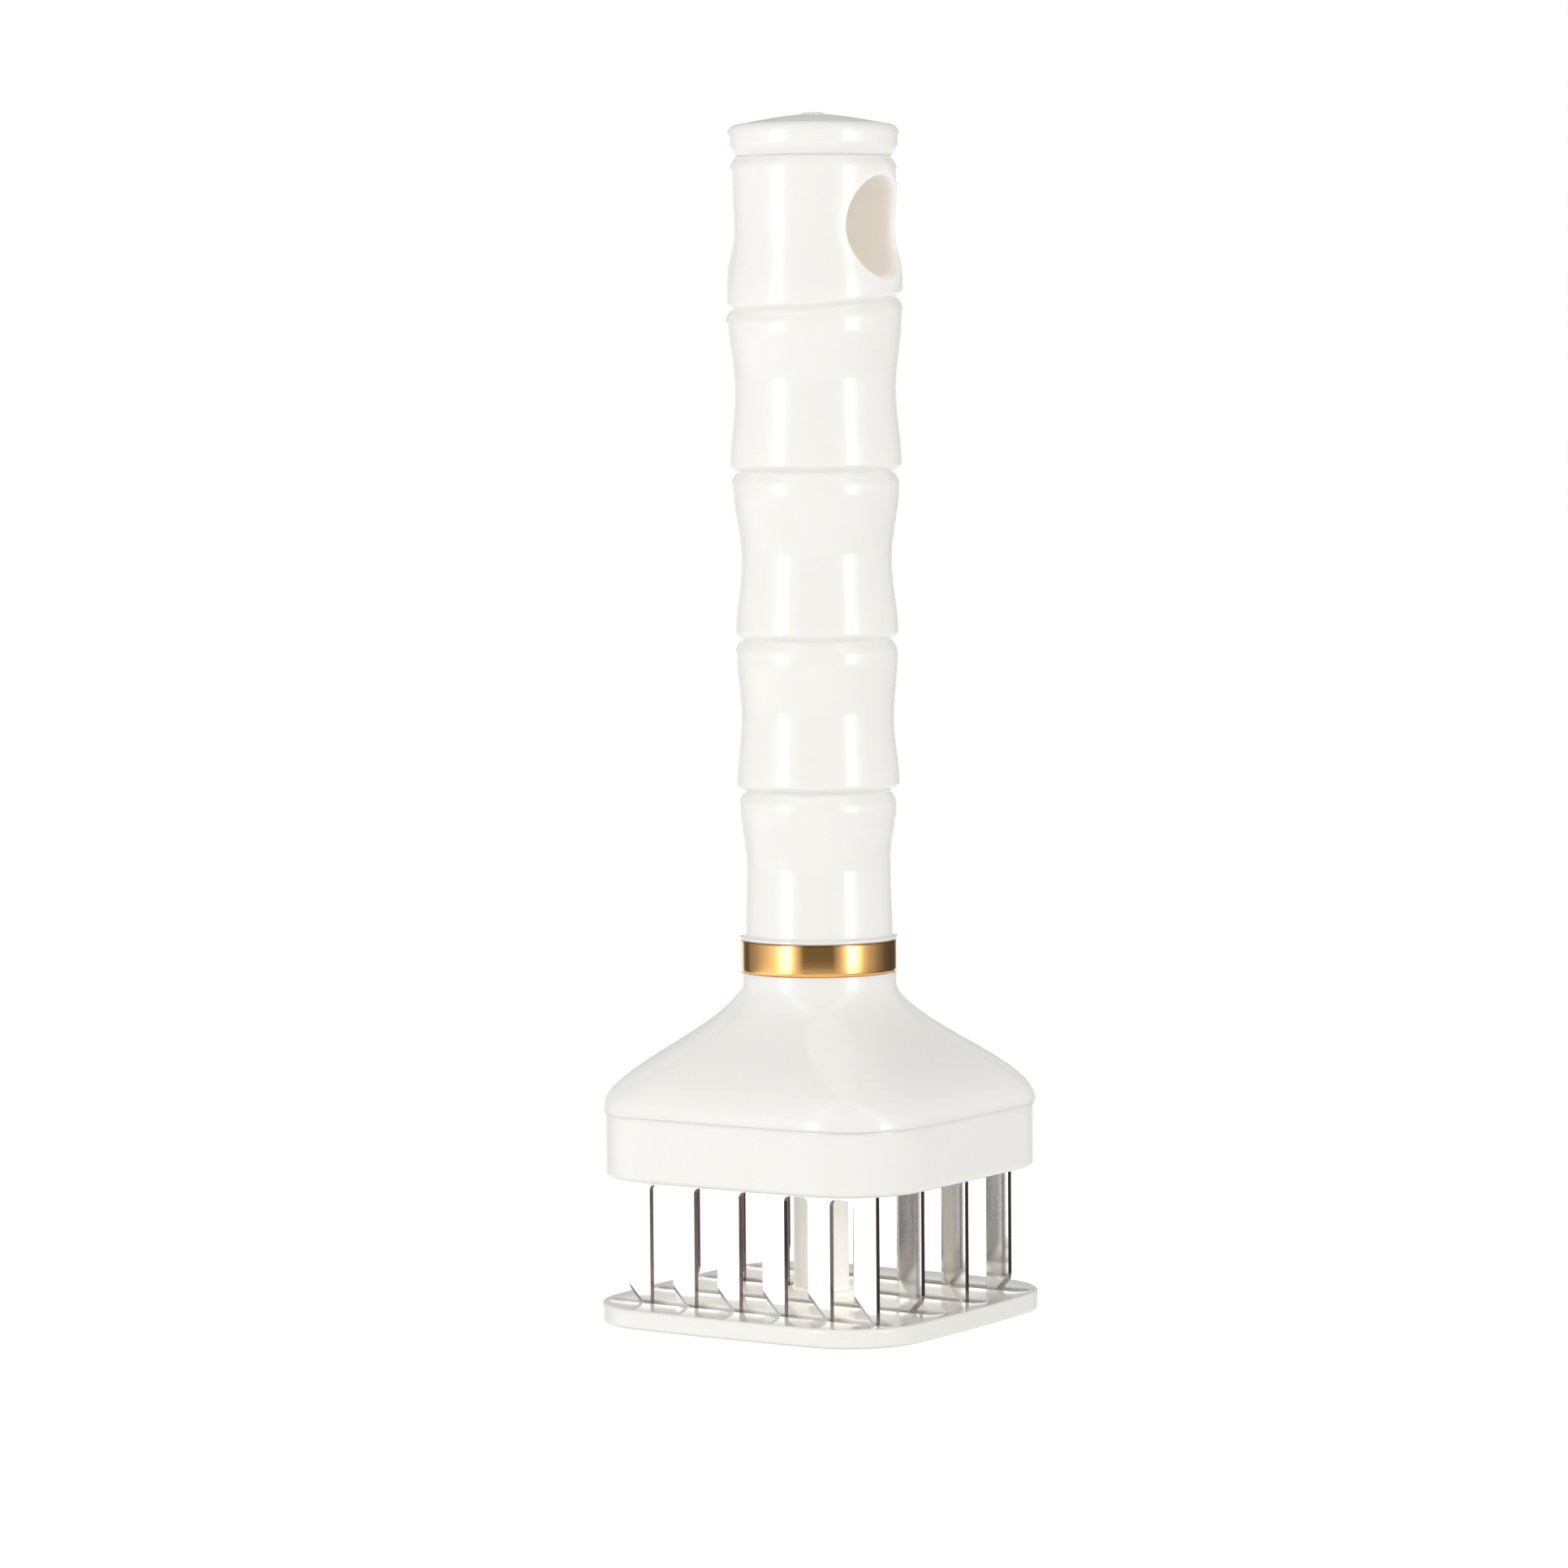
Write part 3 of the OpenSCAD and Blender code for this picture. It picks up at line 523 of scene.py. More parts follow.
def painted_glow_mask():
    """Mask of a shaded place that gets a painted glow."""
    name = "milky depth"
    if name in bpy.data.node_groups:
        return bpy.data.node_groups[name]
    group, source, result, place = effect(
        name, {"Centre": (0.0, 0.0, 0.0), "Reach": (1.0, 1.0, 1.0), "Power": 2.0}, {"Mask": 1}
    )
    away = vector_maths(group, "SUBTRACT", place, source["Centre"])
    scaled = vector_maths(group, "DIVIDE", away, source["Reach"])
    total = 0.0
    for part in add(group, "ShaderNodeSeparateXYZ", Vector=scaled).outputs:
        raised = maths(group, "POWER", maths(group, "ABSOLUTE", part), source["Power"])
        total = maths(group, "ADD", total, raised)
    far = maths(group, "POWER", total, maths(group, "DIVIDE", 1.0, source["Power"]))
    feed(group, result["Mask"], fade(group, far, 0.95, 1.2, 1.0, 0.0))
    return group


def empty_tree(owner):
    """The node tree of a material or a world, with its nodes cleared away."""
    owner.use_nodes = True
    owner.node_tree.nodes.clear()
    return owner.node_tree


def new_material(name):
    """A material with nothing but its shader, its node tree and the shader's inputs."""
    material = bpy.data.materials.new(name)
    tree = empty_tree(material)
    shader = tree.nodes.new("ShaderNodeBsdfPrincipled")
    output = tree.nodes.new("ShaderNodeOutputMaterial")
    tree.links.new(shader.outputs["BSDF"], output.inputs["Surface"])
    return material, tree, shader.inputs


def rgba(value):
    return (value[0], value[1], value[2], 1.0)


def raised(tree, height, strength, distance):
    return add(
        tree, "ShaderNodeBump", Strength=strength, Distance=distance, Height=height
    ).outputs["Normal"]


def plastic(name, tone, deep, roughness, peel=0.02, glow=0.0, painted_glow=None):
    """Glossy injection moulding; its last argument is (centre, reach, power, tint) of a painted
    glow.
    """
    if name in bpy.data.materials:
        return bpy.data.materials[name]
    material, tree, shader = new_material(name)
    skin = add(
        tree, "ShaderNodeGroup", {"node_tree": moulded_skin()}, Tone=rgba(tone),
        Deep_tone=rgba(deep), Roughness=roughness, Drift=0.04, Patch_size=55.0, Peel_size=620.0,
    ).outputs
    scuff = add(
        tree, "ShaderNodeGroup", {"node_tree": hairlines()}, Across=(90.0, 90.0, 2600.0),
        Density=0.34,
    )
    rubbed = maths(tree, "MULTIPLY", scuff.outputs["Mask"], 0.04)
    dulled = maths(tree, "ADD", skin["Roughness"], rubbed, clamp=True)
    feed(tree, shader["Base Color"], skin["Colour"])
    feed(tree, shader["Roughness"], dulled)
    feed(tree, shader["Normal"], raised(tree, skin["Height"], peel, 0.0002))
    shader["IOR"].default_value = 1.5
    shader["Subsurface Weight"].default_value = glow
    shader["Subsurface Radius"].default_value = (1.0, 0.96, 0.9)
    shader["Subsurface Scale"].default_value = 0.0012
    # Painted glow: emission that lightens a shaded place of the moulding
    if painted_glow:
        centre, extent, sharpness, tint = painted_glow
        depth = add(
            tree, "ShaderNodeGroup", {"node_tree": painted_glow_mask()}, Centre=centre, Reach=extent,
            Power=sharpness,
        )
        painted = blended(tree, depth.outputs["Mask"], (0.0, 0.0, 0.0, 1.0), rgba(tint))
        feed(tree, shader["Emission Color"], painted)
        shader["Emission Strength"].default_value = 1.0
    return material


def metal(name, tone, deep, roughness, across, density=0.5, worn=0.14, lines=0.02, lacquer=0.0):
    """Bare or plated metal with fine lines along one axis, under a clear lacquer if it has one."""
    if name in bpy.data.materials:
        return bpy.data.materials[name]
    material, tree, shader = new_material(name)
    scratch = add(
        tree, "ShaderNodeGroup", {"node_tree": hairlines()}, Across=across, Density=density
    ).outputs
    dulled = maths(tree, "MULTIPLY", scratch["Mask"], worn)
    feed(tree, shader["Base Color"], blended(tree, scratch["Mask"], rgba(tone), rgba(deep)))
    feed(tree, shader["Roughness"], maths(tree, "ADD", dulled, roughness))
    feed(tree, shader["Normal"], raised(tree, scratch["Height"], lines, 0.00005))
    shader["Metallic"].default_value = 1.0
    shader["Coat Weight"].default_value = lacquer
    shader["Coat IOR"].default_value = 1.65
    return material


def body_plastic(context):
    """Warm white moulding of the handle and the head, with a painted glow in the shaded hang hole.
    """
    colours = context.scene.tenderizer.finish
    hole_reach = (1.0, 0.0071, 0.0079)
    painted_glow_in_hole = ((0.0, 0.0, HANG_Z), hole_reach, 2.0, colours.painted_hole_glow)
    return plastic(
        "warm white moulding", colours.body, colours.body_deep, 0.065, glow=0.5, painted_glow=painted_glow_in_hole
    )


def painted_glow_under_head(colours, tall):
    """Painted glow in the shade between the head and the guard plate, up to a height above the
    plate.
    """
    centre = (0.0, 0.0, PLATE_TOP + 0.95 * tall)
    return centre, (0.0238, 0.0238, tall), 6.0, colours.painted_guard_glow


def dress(material, *nodes):
    """Gives solids of the frame their finish."""
    for node in nodes:
        frame["nodes"][node].data.materials.clear()
        frame["nodes"][node].data.materials.append(material)


# Handle

# The segment with the hang hole, counted from 0 at the foot
TOP_SEGMENT = 4


def segment_bottoms(s):
    total = sum(s.shares)
    run, levels = 0.0, []
    for share in s.shares:
        levels.append(HANDLE_Z + (HANDLE_TOP - HANDLE_Z) * run / total)
        run += share
    return levels + [HANDLE_TOP]


def segment_radius(s, k, u):
    """Radius of segment k at a share u of the way from its lower lip to its upper one."""
    end = s.lip_low[k] if u < 0.5 else s.lip_high[k]
    nearness = abs(2 * u - 1)
    return s.waist[k] + (end - s.waist[k]) * cos(pi / 2 * (1 - nearness)) ** 2


def segment_span(s, k, bottoms):
    """Heights between which segment k is smooth, between its two rounded lips."""
    wide = s.foot_lip_up + s.foot_turn if k == 0 else s.groove_above
    return bottoms[k] + wide, bottoms[k + 1] - s.groove_below


def groove_side(s, steps=14):
    """Shares of the height and of the depth from a groove's bottom to a lip."""
    soft = s.groove_round
    shares = []
    for i in range(steps + 1):
        up = i / steps
        eased = (sqrt(up * up + soft * soft) - soft) / (sqrt(1 + soft * soft) - soft)
        shares.append((up, 1 - sin(pi / 2 * eased)))
    return shares


def handle_profile(s):
    """Profile of the handle's outside, from the foot lip to the groove under the cap."""
    ring_pitch = 0.0005
    bottoms = segment_bottoms(s)
    last_k = len(s.shares) - 1
    side = groove_side(s)
    edge, foot = s.foot_lip_up / 4, HANDLE_Z + s.foot_lip_up
    skin = rounded(HANDLE_Z, s.foot_lip, edge, edge, 4)
    skin += rounded(foot, s.foot_lip, -edge, edge, 4)[-2::-1]
    skin += rounded(foot, s.lip_low[0], s.foot_turn, -s.foot_turn, 8)[:-1]
    for k, lip in enumerate(s.lip_high):
        first, last = segment_span(s, k, bottoms)
        steps = round((last - first) / ring_pitch)
        for i in range(steps + 1):
            skin.append((first + (last - first) * i / steps, segment_radius(s, k, i / steps)))
        z = bottoms[k + 1]
        next_lip = s.lip_low[k + 1] if k < last_k else lip
        bottom = min(lip, next_lip) - s.groove_deep
        skin += [
            (z - s.groove_below * up, lip - (lip - bottom) * deep) for up, deep in side[-2::-1]
        ]
        if k < last_k:
            skin += [
                (z + s.groove_above * up, next_lip - (next_lip - bottom) * deep)
                for up, deep in side[1:-1]
            ]
    return skin


def hang_hole(bm, s):
    """Cuts the hole through the top segment and turns its oval mouths inwards."""
    around, rounds = 160, 9
    margin = 0.00022
    first, last = segment_span(s, TOP_SEGMENT, segment_bottoms(s))

    def skin_x(y, z):
        u = min(max((z - first) / (last - first), 0.0), 1.0)
        return sqrt(segment_radius(s, TOP_SEGMENT, u) ** 2 - y * y)

    def mouth_side(across):
        return s.mouth_near + (s.mouth_far - s.mouth_near) * (1 + across) / 2

    def lip_place(t, turn):
        """Place on the mouth's curve, from the bore (t = 0) to the skin (t = 1)."""
        across, up = cos(turn), sin(turn)
        side = mouth_side(across)
        x_bore = skin_x(s.hang * across, HANG_Z + s.hang_up * up)
        x_skin = skin_x(side * across, HANG_Z + s.mouth_up * up)
        x = (1 - t) ** 2 * (x_bore - s.hang_deep) + 2 * t * (1 - t) * x_bore + t * t * x_skin
        y = (s.hang + t * t * (side - s.hang)) * across
        return Vector((x, y, HANG_Z + (s.hang_up + t * t * (s.mouth_up - s.hang_up)) * up))

    def in_mouth(point):
        up = point.z - HANG_Z
        side = mouth_side(cos(atan2(up / s.mouth_up, point.y / s.hang)))
        inside = hypot(point.y / (side + margin), up / (s.mouth_up + margin)) < 1
        return inside and hypot(point.x, point.y) > s.bore

    cleared = [f for f in bm.faces if any(in_mouth(v.co) for v in f.verts)]
    bmesh.ops.delete(bm, geom=cleared, context="FACES")
    open_edges = [e for e in bm.edges if e.is_boundary]
    inner = []
    for side in (1, -1):
        ring = bmesh.ops.create_circle(bm, cap_ends=False, segments=around, radius=1.0)["verts"]
        turns = {vert: atan2(vert.co.y, vert.co.x) for vert in ring}
        rim = ring_edges(ring)
        for i in range(rounds + 1):
            if i > 0:
                grown = bmesh.ops.extrude_edge_only(bm, edges=rim)["geom"]
                fresh = [g for g in grown if isinstance(g, bmesh.types.BMVert)]
                turns = {
                    vert: next(
                        turns[e.other_vert(vert)] for e in vert.link_edges
                        if e.other_vert(vert) in turns
                    )
                    for vert in fresh
                }
                rim = ring_edges(fresh)
            for vert, turn in turns.items():
                vert.co = lip_place(1 - i / rounds, turn)
                vert.co.x *= side
            if i == 0:
                outer = [e for e in open_edges if side * e.verts[0].co.x > 0]
                bmesh.ops.bridge_loops(bm, edges=outer + rim)
        inner += rim
    bmesh.ops.bridge_loops(bm, edges=inner)


class TENDERIZER_OT_handle(bpy.types.Operator):
    """Bamboo-shaped handle with its hang hole, spigot and spring bore"""

    bl_idname = "tenderizer.handle"
    bl_label = "Handle"

    def execute(self, context):
        s = context.scene.tenderizer.handle
        cap = context.scene.tenderizer.cap
        chamfer = 0.0003
        socket_r, socket_z = cap.plug + FIT, HANDLE_TOP - cap.plug_deep - FIT
        profile = [(BORE_TOP, 0), (BORE_TOP, s.bore), (SPIGOT_Z + chamfer, s.bore)]
        profile += [(SPIGOT_Z, s.bore + chamfer), (SPIGOT_Z, s.spigot - chamfer)]
        profile += [(SPIGOT_Z + chamfer, s.spigot), (HANDLE_Z, s.spigot)]
        profile += handle_profile(s)
        profile += [(HANDLE_TOP, socket_r), (socket_z, socket_r), (socket_z, 0)]
        bm = bmesh.new()
        turned(bm, profile, 192)
        bmesh.ops.remove_doubles(bm, verts=bm.verts, dist=1e-6)
        hang_hole(bm, s)
        lean_z = segment_bottoms(s)[TOP_SEGMENT]
        for vert in bm.verts:
            share = exp(-(((vert.co.z - lean_z) / s.lean_reach) ** 2))
            vert.co.z += share * (s.lean_x * vert.co.x + s.lean_y * vert.co.y)
        finished(
            bm, "bamboo_handle", [body_plastic(context)], "tool", ["handle_body"],
        )
        return {"FINISHED"}


class TENDERIZER_OT_end_cap(bpy.types.Operator):
    """End cap with its shallow dome and nib"""

    bl_idname = "tenderizer.end_cap"
    bl_label = "End cap"

    def execute(self, context):
        s = context.scene.tenderizer.cap
        handle = context.scene.tenderizer.handle
        top = HANDLE_TOP + s.rim
        shoulder = s.radius - s.round_high
        nib_z = top + s.dome
        nib_up = TOOL_TOP - nib_z
        foot = HANDLE_TOP - s.plug_deep
        profile = [(foot, 0), (foot, s.plug), (HANDLE_TOP, s.plug)]
        profile += [
            (HANDLE_TOP + s.round_low * up, s.radius - handle.groove_deep * deep)
            for up, deep in groove_side(handle)
        ]
        profile += rounded(top, s.radius, -s.round_high, s.round_high, 12)[::-1]
        steps, straight = 18, 0.55
        for i in range(1, steps):
            t = i / steps
            lift = straight * t + (1 - straight) * sin(pi / 2 * t)
            profile.append((top + s.dome * lift, shoulder - (shoulder - s.nib) * t))
        nib_foot = s.nib + 0.0001
        profile += [(nib_z, nib_foot), (nib_z + 0.1 * nib_up, s.nib)]
        profile += rounded(TOOL_TOP, s.nib, -0.9 * nib_up, 0.4 * s.nib, 8)[-2::-1]
        profile += [(TOOL_TOP, 0)]
        bm = bmesh.new()
        turned(bm, profile, 160)
        finished(bm, "domed_cap", [body_plastic(context)], "tool", ["end_cap"])
        return {"FINISHED"}


class TENDERIZER_OT_collar_ring(bpy.types.Operator):
    """Gold ring between the handle and the head"""

    bl_idname = "tenderizer.collar_ring"
    bl_label = "Collar ring"

    def execute(self, context):
        s = context.scene.tenderizer.collar
        colours = context.scene.tenderizer.finish
        edge_r = s.radius - s.crown
        face = HANDLE_Z - NECK_Z - 2 * s.edge
        profile = [(NECK_Z, s.bore)] + rounded(NECK_Z, edge_r, s.edge, s.edge, 4)[:-1]
        steps = 20
        for i in range(steps + 1):
            u = 2 * i / steps - 1
            profile.append((NECK_Z + s.edge + face * i / steps, s.radius - s.crown * u * u))
        profile += rounded(HANDLE_Z, edge_r, -s.edge, s.edge, 4)[-2::-1] + [(HANDLE_Z, s.bore)]
        bm = bmesh.new()
        stack(bm, len(profile), 160, round_place(profile), closed=True)
        gold = metal(
            "gold plating", colours.gold, colours.gold_deep, 0.055, (500.0, 500.0, 6000.0),
            density=0.4, worn=0.06, lacquer=0.6,
        )
        finished(bm, "gold_collar", [gold], "tool", ["collar_ring"])
        return {"FINISHED"}


# Head


def bell(t, first, last, pull_low, pull_high):
    """Height of a cubic curve that starts and ends upright."""
    return (
        (1 - t) ** 3 * first + 3 * t * (1 - t) ** 2 * (first + pull_low)
        + 3 * t * t * (1 - t) * (last - pull_high) + t**3 * last
    )


def ease(t):
    return t * t * (3 - 2 * t)


class TENDERIZER_OT_head_shell(bpy.types.Operator):
    """Bell of the head, from the rounded square at the parting line to the round neck"""

    bl_idname = "tenderizer.head_shell"
    bl_label = "Head shell"

    def execute(self, context):
        s = context.scene.tenderizer.head
        seam = SKIRT_Z + s.skirt
        half = s.width / 2 + s.lap
        rim_edge, rim_up, neck_down = 0.0001, 0.0004, 0.0014
        levels = [
            (z, r, s.corner) for z, r in rounded(seam, half, rim_edge, rim_edge, 4)[:-1]
        ]
        steps = 56
        for i in range(steps + 1):
            t = i / steps
            z = bell(t, seam + rim_up, NECK_Z - neck_down, s.swell_low, s.swell_high)
            w = ease(t)
            levels.append((z, half + (s.neck - half) * w, s.corner + (s.neck - s.corner) * w))
        flange_r = high("guide_bush").x + FIT + 0.0001
        roof = WEB_Z - s.web
        for z, r in (
            (NECK_Z, s.neck), (NECK_Z, flange_r), (WEB_Z, flange_r), (WEB_Z, s.sleeve),
            (roof, s.sleeve),
        ):
            levels.append((z, r, r))
        inner, corner_in = s.width / 2 - s.wall, s.corner - s.wall
        roof_r, inner_up, inner_low, inner_high = 0.0112, 0.0016, 0.003, 0.002
        steps = 16
        for i in range(steps + 1):
            t = 1 - i / steps
            w = ease(t)
            z = bell(t, seam + inner_up, roof, inner_low, inner_high)
            levels.append((z, inner + (roof_r - inner) * w, corner_in + (roof_r - corner_in) * w))
        levels.append((seam, inner, corner_in))
        bm = bmesh.new()
        stack(bm, len(levels), 288, square_place(levels, s.bow), closed=True)
        finished(bm, "bell_shell", [body_plastic(context)], "tool", ["head_shell"])
        return {"FINISHED"}


class TENDERIZER_OT_head_base(bpy.types.Operator):
    """Skirt of the head, with the floor that the combs and the post pass through"""

    bl_idname = "tenderizer.head_base"
    bl_label = "Head base"

    def execute(self, context):
        s = context.scene.tenderizer.head
        blade = context.scene.tenderizer.blade
        guard = context.scene.tenderizer.guard
        seam = SKIRT_Z + s.skirt
        half = s.width / 2
        inner = half - s.wall
        root, lip_z = seam - s.lip_down, seam + s.lip_up
        under = SKIRT_Z + s.floor_up
        above = under + s.floor
        seam_edge, inner_edge = 0.00012, 0.00025
        wall_top, wall_foot = seam - 0.0004, SKIRT_Z + s.edge + 0.0003
        inside = [(above, inner), (root, inner), (root, inner - s.lip), (lip_z, inner - s.lip)]
        levels = cornered(inside, half, s.corner)
        levels += [(z, inner - FIT, s.corner - s.wall) for z in (lip_z, seam)]
        outside = rounded(seam, half, -seam_edge, seam_edge, 4)
        outside += [(wall_top, half), (wall_foot, half)]
        outside += rounded(SKIRT_Z, half, s.edge, s.edge, 8)[::-1]
        outside += rounded(SKIRT_Z, inner, inner_edge, -inner_edge, 4) + [(under, inner)]
        levels += cornered(outside, half, s.corner)
        bm = bmesh.new()
        rings = stack(bm, len(levels), 288, square_place(levels, s.bow))
        top, bottom = [rings[0]], [rings[-1]]

        def hole(profile, steps, x=0.0, y=0.0, stretch=0.0):
            place = round_place(profile, x, y, stretch)
            made = stack(bm, len(profile), steps, place, offset=pi / steps)
            bottom.append(made[0])
            top.append(made[-1])

        edge, slit_fit, pass_fit = 0.00015, 0.00015, 0.0003
        r = blade.thick / 2 + slit_fit
        for y in ROWS:
            slit = [(under, r + edge), (under + edge, r), (above, r)]
            hole(slit, 16, 0.0, y, COMB_END + pass_fit - r)
        r = guard.post + pass_fit
        hole([(under, r + edge), (under + edge, r), (above, r)], 64)
        sunk = under + 0.0012
        screw = [(under, HEAD_HOLE_R + edge), (under + edge, HEAD_HOLE_R), (sunk, HEAD_HOLE_R)]
        screw += [(sunk, SHANK_HOLE_R), (above, SHANK_HOLE_R)]
        for x in (-SCREW_X, SCREW_X):
            for y in (-SCREW_Y, SCREW_Y):
                hole(screw, 32, x, y)
        fill_between(bm, top, 1)
        fill_between(bm, bottom, -1)
        finished(
            bm, "skirt_and_floor", [body_plastic(context)], "tool", ["head_base"]
        )
        return {"FINISHED"}


# Blades


def comb_outline(s, tip, top):
    """Corner points of a comb from the front, the tips' slants on the left, as (role, x, z)."""
    gap_z = SKIRT_Z - s.gap_below
    pitch = (2 * COMB_END - s.width) / (s.tines - 1)
    run = s.width - s.flat
    slant = hypot(run, s.bevel)
    points, cutting = [], []
    for k in range(s.tines):
        left = -COMB_END + k * pitch
        right = left + s.width
        foot = tip + s.skew * k / (s.tines - 1)
        points += [
            ("facet_high", left, foot + s.bevel + s.facet * slant / run),
            ("facet_low", left + run + s.facet * slant / s.bevel, foot),
            ("plain", right, foot),
        ]
        cutting.append(((left, foot + s.bevel), (left + run, foot)))
        if k < s.tines - 1:
            points += [("round", right, gap_z), ("round", left + pitch, gap_z)]
    points += [("plain", COMB_END, top), ("plain", -COMB_END, top)]
    return points, cutting


def comb(bm, s, row_y, tip, top, turned_round):
    """One stamped comb with its ground tips, lying across the Y axis at row_y.

    Its faces take material 0 on the flat sides, 1 on the facets and 2 on the sheared edges and
    rolled roundings, whose dark colour is partly painted shade."""
    points, cutting = comb_outline(s, tip, top)
    loop, highs, lows = [], [], []
    for n, (role, x, z) in enumerate(points):
        if role == "round":
            first_corner = points[n + 1][0] == "round"
            side = s.gap if first_corner else -s.gap
            arc = rounded(x, z, side, s.gap, 6)
            for corner_x, corner_z in arc if first_corner else arc[::-1]:
                loop.append(bm.verts.new((corner_x, 0, corner_z)))
            continue
        loop.append(bm.verts.new((x, 0, z)))
        if role == "facet_high":
            highs.append(loop[-1])
        if role == "facet_low":
            lows.append(loop[-1])
    outer = [bm.edges.new(pair) for pair in zip(loop, loop[1:] + loop[:1])]
    for x in (-ROD_X, ROD_X):
        ring = bmesh.ops.create_circle(bm, cap_ends=False, segments=32, radius=s.rod_hole)["verts"]
        for vert in ring:
            vert.co = (x + vert.co.x, 0, ROD_Z + vert.co.y)
        outer += ring_edges(ring)
    bmesh.ops.triangle_fill(bm, use_beauty=True, normal=(0, -1, 0), edges=outer)
    for high_vert, low_vert, (start, end) in zip(highs, lows, cutting):
        a = bm.verts.new((start[0], 0, start[1]))
        b = bm.verts.new((end[0], 0, end[1]))
        bm.faces.new((high_vert, a, b, low_vert)).material_index = 1
    grown = bmesh.ops.extrude_face_region(bm, geom=bm.faces[:], use_keep_orig=True)["geom"]
    back = {g for g in grown if isinstance(g, bmesh.types.BMVert)}
    on_edge = {(round(x, 7), round(z, 7)) for pair in cutting for x, z in pair}
    for vert in bm.verts:
        ground = (round(vert.co.x, 7), round(vert.co.z, 7)) in on_edge
        vert.co.y = (1 if vert in back else -1) * (s.edge if ground else s.thick) / 2
    bmesh.ops.recalc_face_normals(bm, faces=bm.faces)
    bmesh.ops.dissolve_limit(
        bm, angle_limit=radians(0.5), verts=bm.verts, edges=bm.edges, delimit={"MATERIAL"}
    )

    def takes_rounding(edge):
        """Whether the press rounds an edge: not the facets' edges, nor the flats at the tips."""
        if len(edge.link_faces) != 2 or edge.calc_face_angle() <= radians(50):
            return False
        a, b = (vert.co.z for vert in edge.verts)
        at_a_tip = abs(a - b) <= 1e-6 and a <= tip + 2 * s.skew
        return not at_a_tip and all(face.material_index == 0 for face in edge.link_faces)

    bmesh.ops.bevel(
        bm, geom=[e for e in bm.edges if takes_rounding(e)], offset=s.rolled,
        offset_type="OFFSET", segments=2, affect="EDGES", profile=0.5, material=-1,
        clamp_overlap=True,
    )
    bm.normal_update()
    # Faces that don't face the sheet's two sides take the dark sheared colour: the cut edges, and
    # the rolled roundings too, where it is painted shade along the tines' edges
    for face in bm.faces:
        if face.material_index == 0 and abs(face.normal.y) < 0.98:
            face.material_index = 2
    if turned_round:
        bmesh.ops.rotate(bm, verts=bm.verts, cent=(0, 0, 0), matrix=Matrix.Rotation(pi, 3, "Z"))
    bmesh.ops.translate(bm, verts=bm.verts, vec=(0, row_y, 0))


class TENDERIZER_OT_blade_combs(bpy.types.Operator):
    """Four combs of needle blades with ground tips"""

    bl_idname = "tenderizer.blade_combs"
    bl_label = "Blade combs"

    def execute(self, context):
        s = context.scene.tenderizer.blade
        colours = context.scene.tenderizer.finish
        polished = metal(
            "polished blade steel", colours.blade, colours.blade_deep, 0.09,
            (5200.0, 5200.0, 60.0), density=0.42, worn=0.1, lines=0.015,
        )
        ground = metal(
            "ground blade steel", colours.facet, colours.blade_deep, 0.3,
            (4200.0, 900.0, 4200.0), worn=0.15, lines=0.12,
        )
        sheared_and_painted_shade = metal(
            "sheared blade edge", colours.sheared_and_painted_shade, colours.facet, 0.14,
            (900.0, 4200.0, 900.0), density=0.3, worn=0.15, lines=0.1,
        )
        for k, (node, row_y) in enumerate(zip(COMBS, ROWS)):
            bm = bmesh.new()
            comb(bm, s, row_y, low(node).z, high(node).z, k % 2 == 1)
            finished(
                bm, "comb_of_blades_%d" % (k + 1), [polished, ground, sheared_and_painted_shade], "tool", [node],
                crease=20,
            )
        return {"FINISHED"}


# Guard


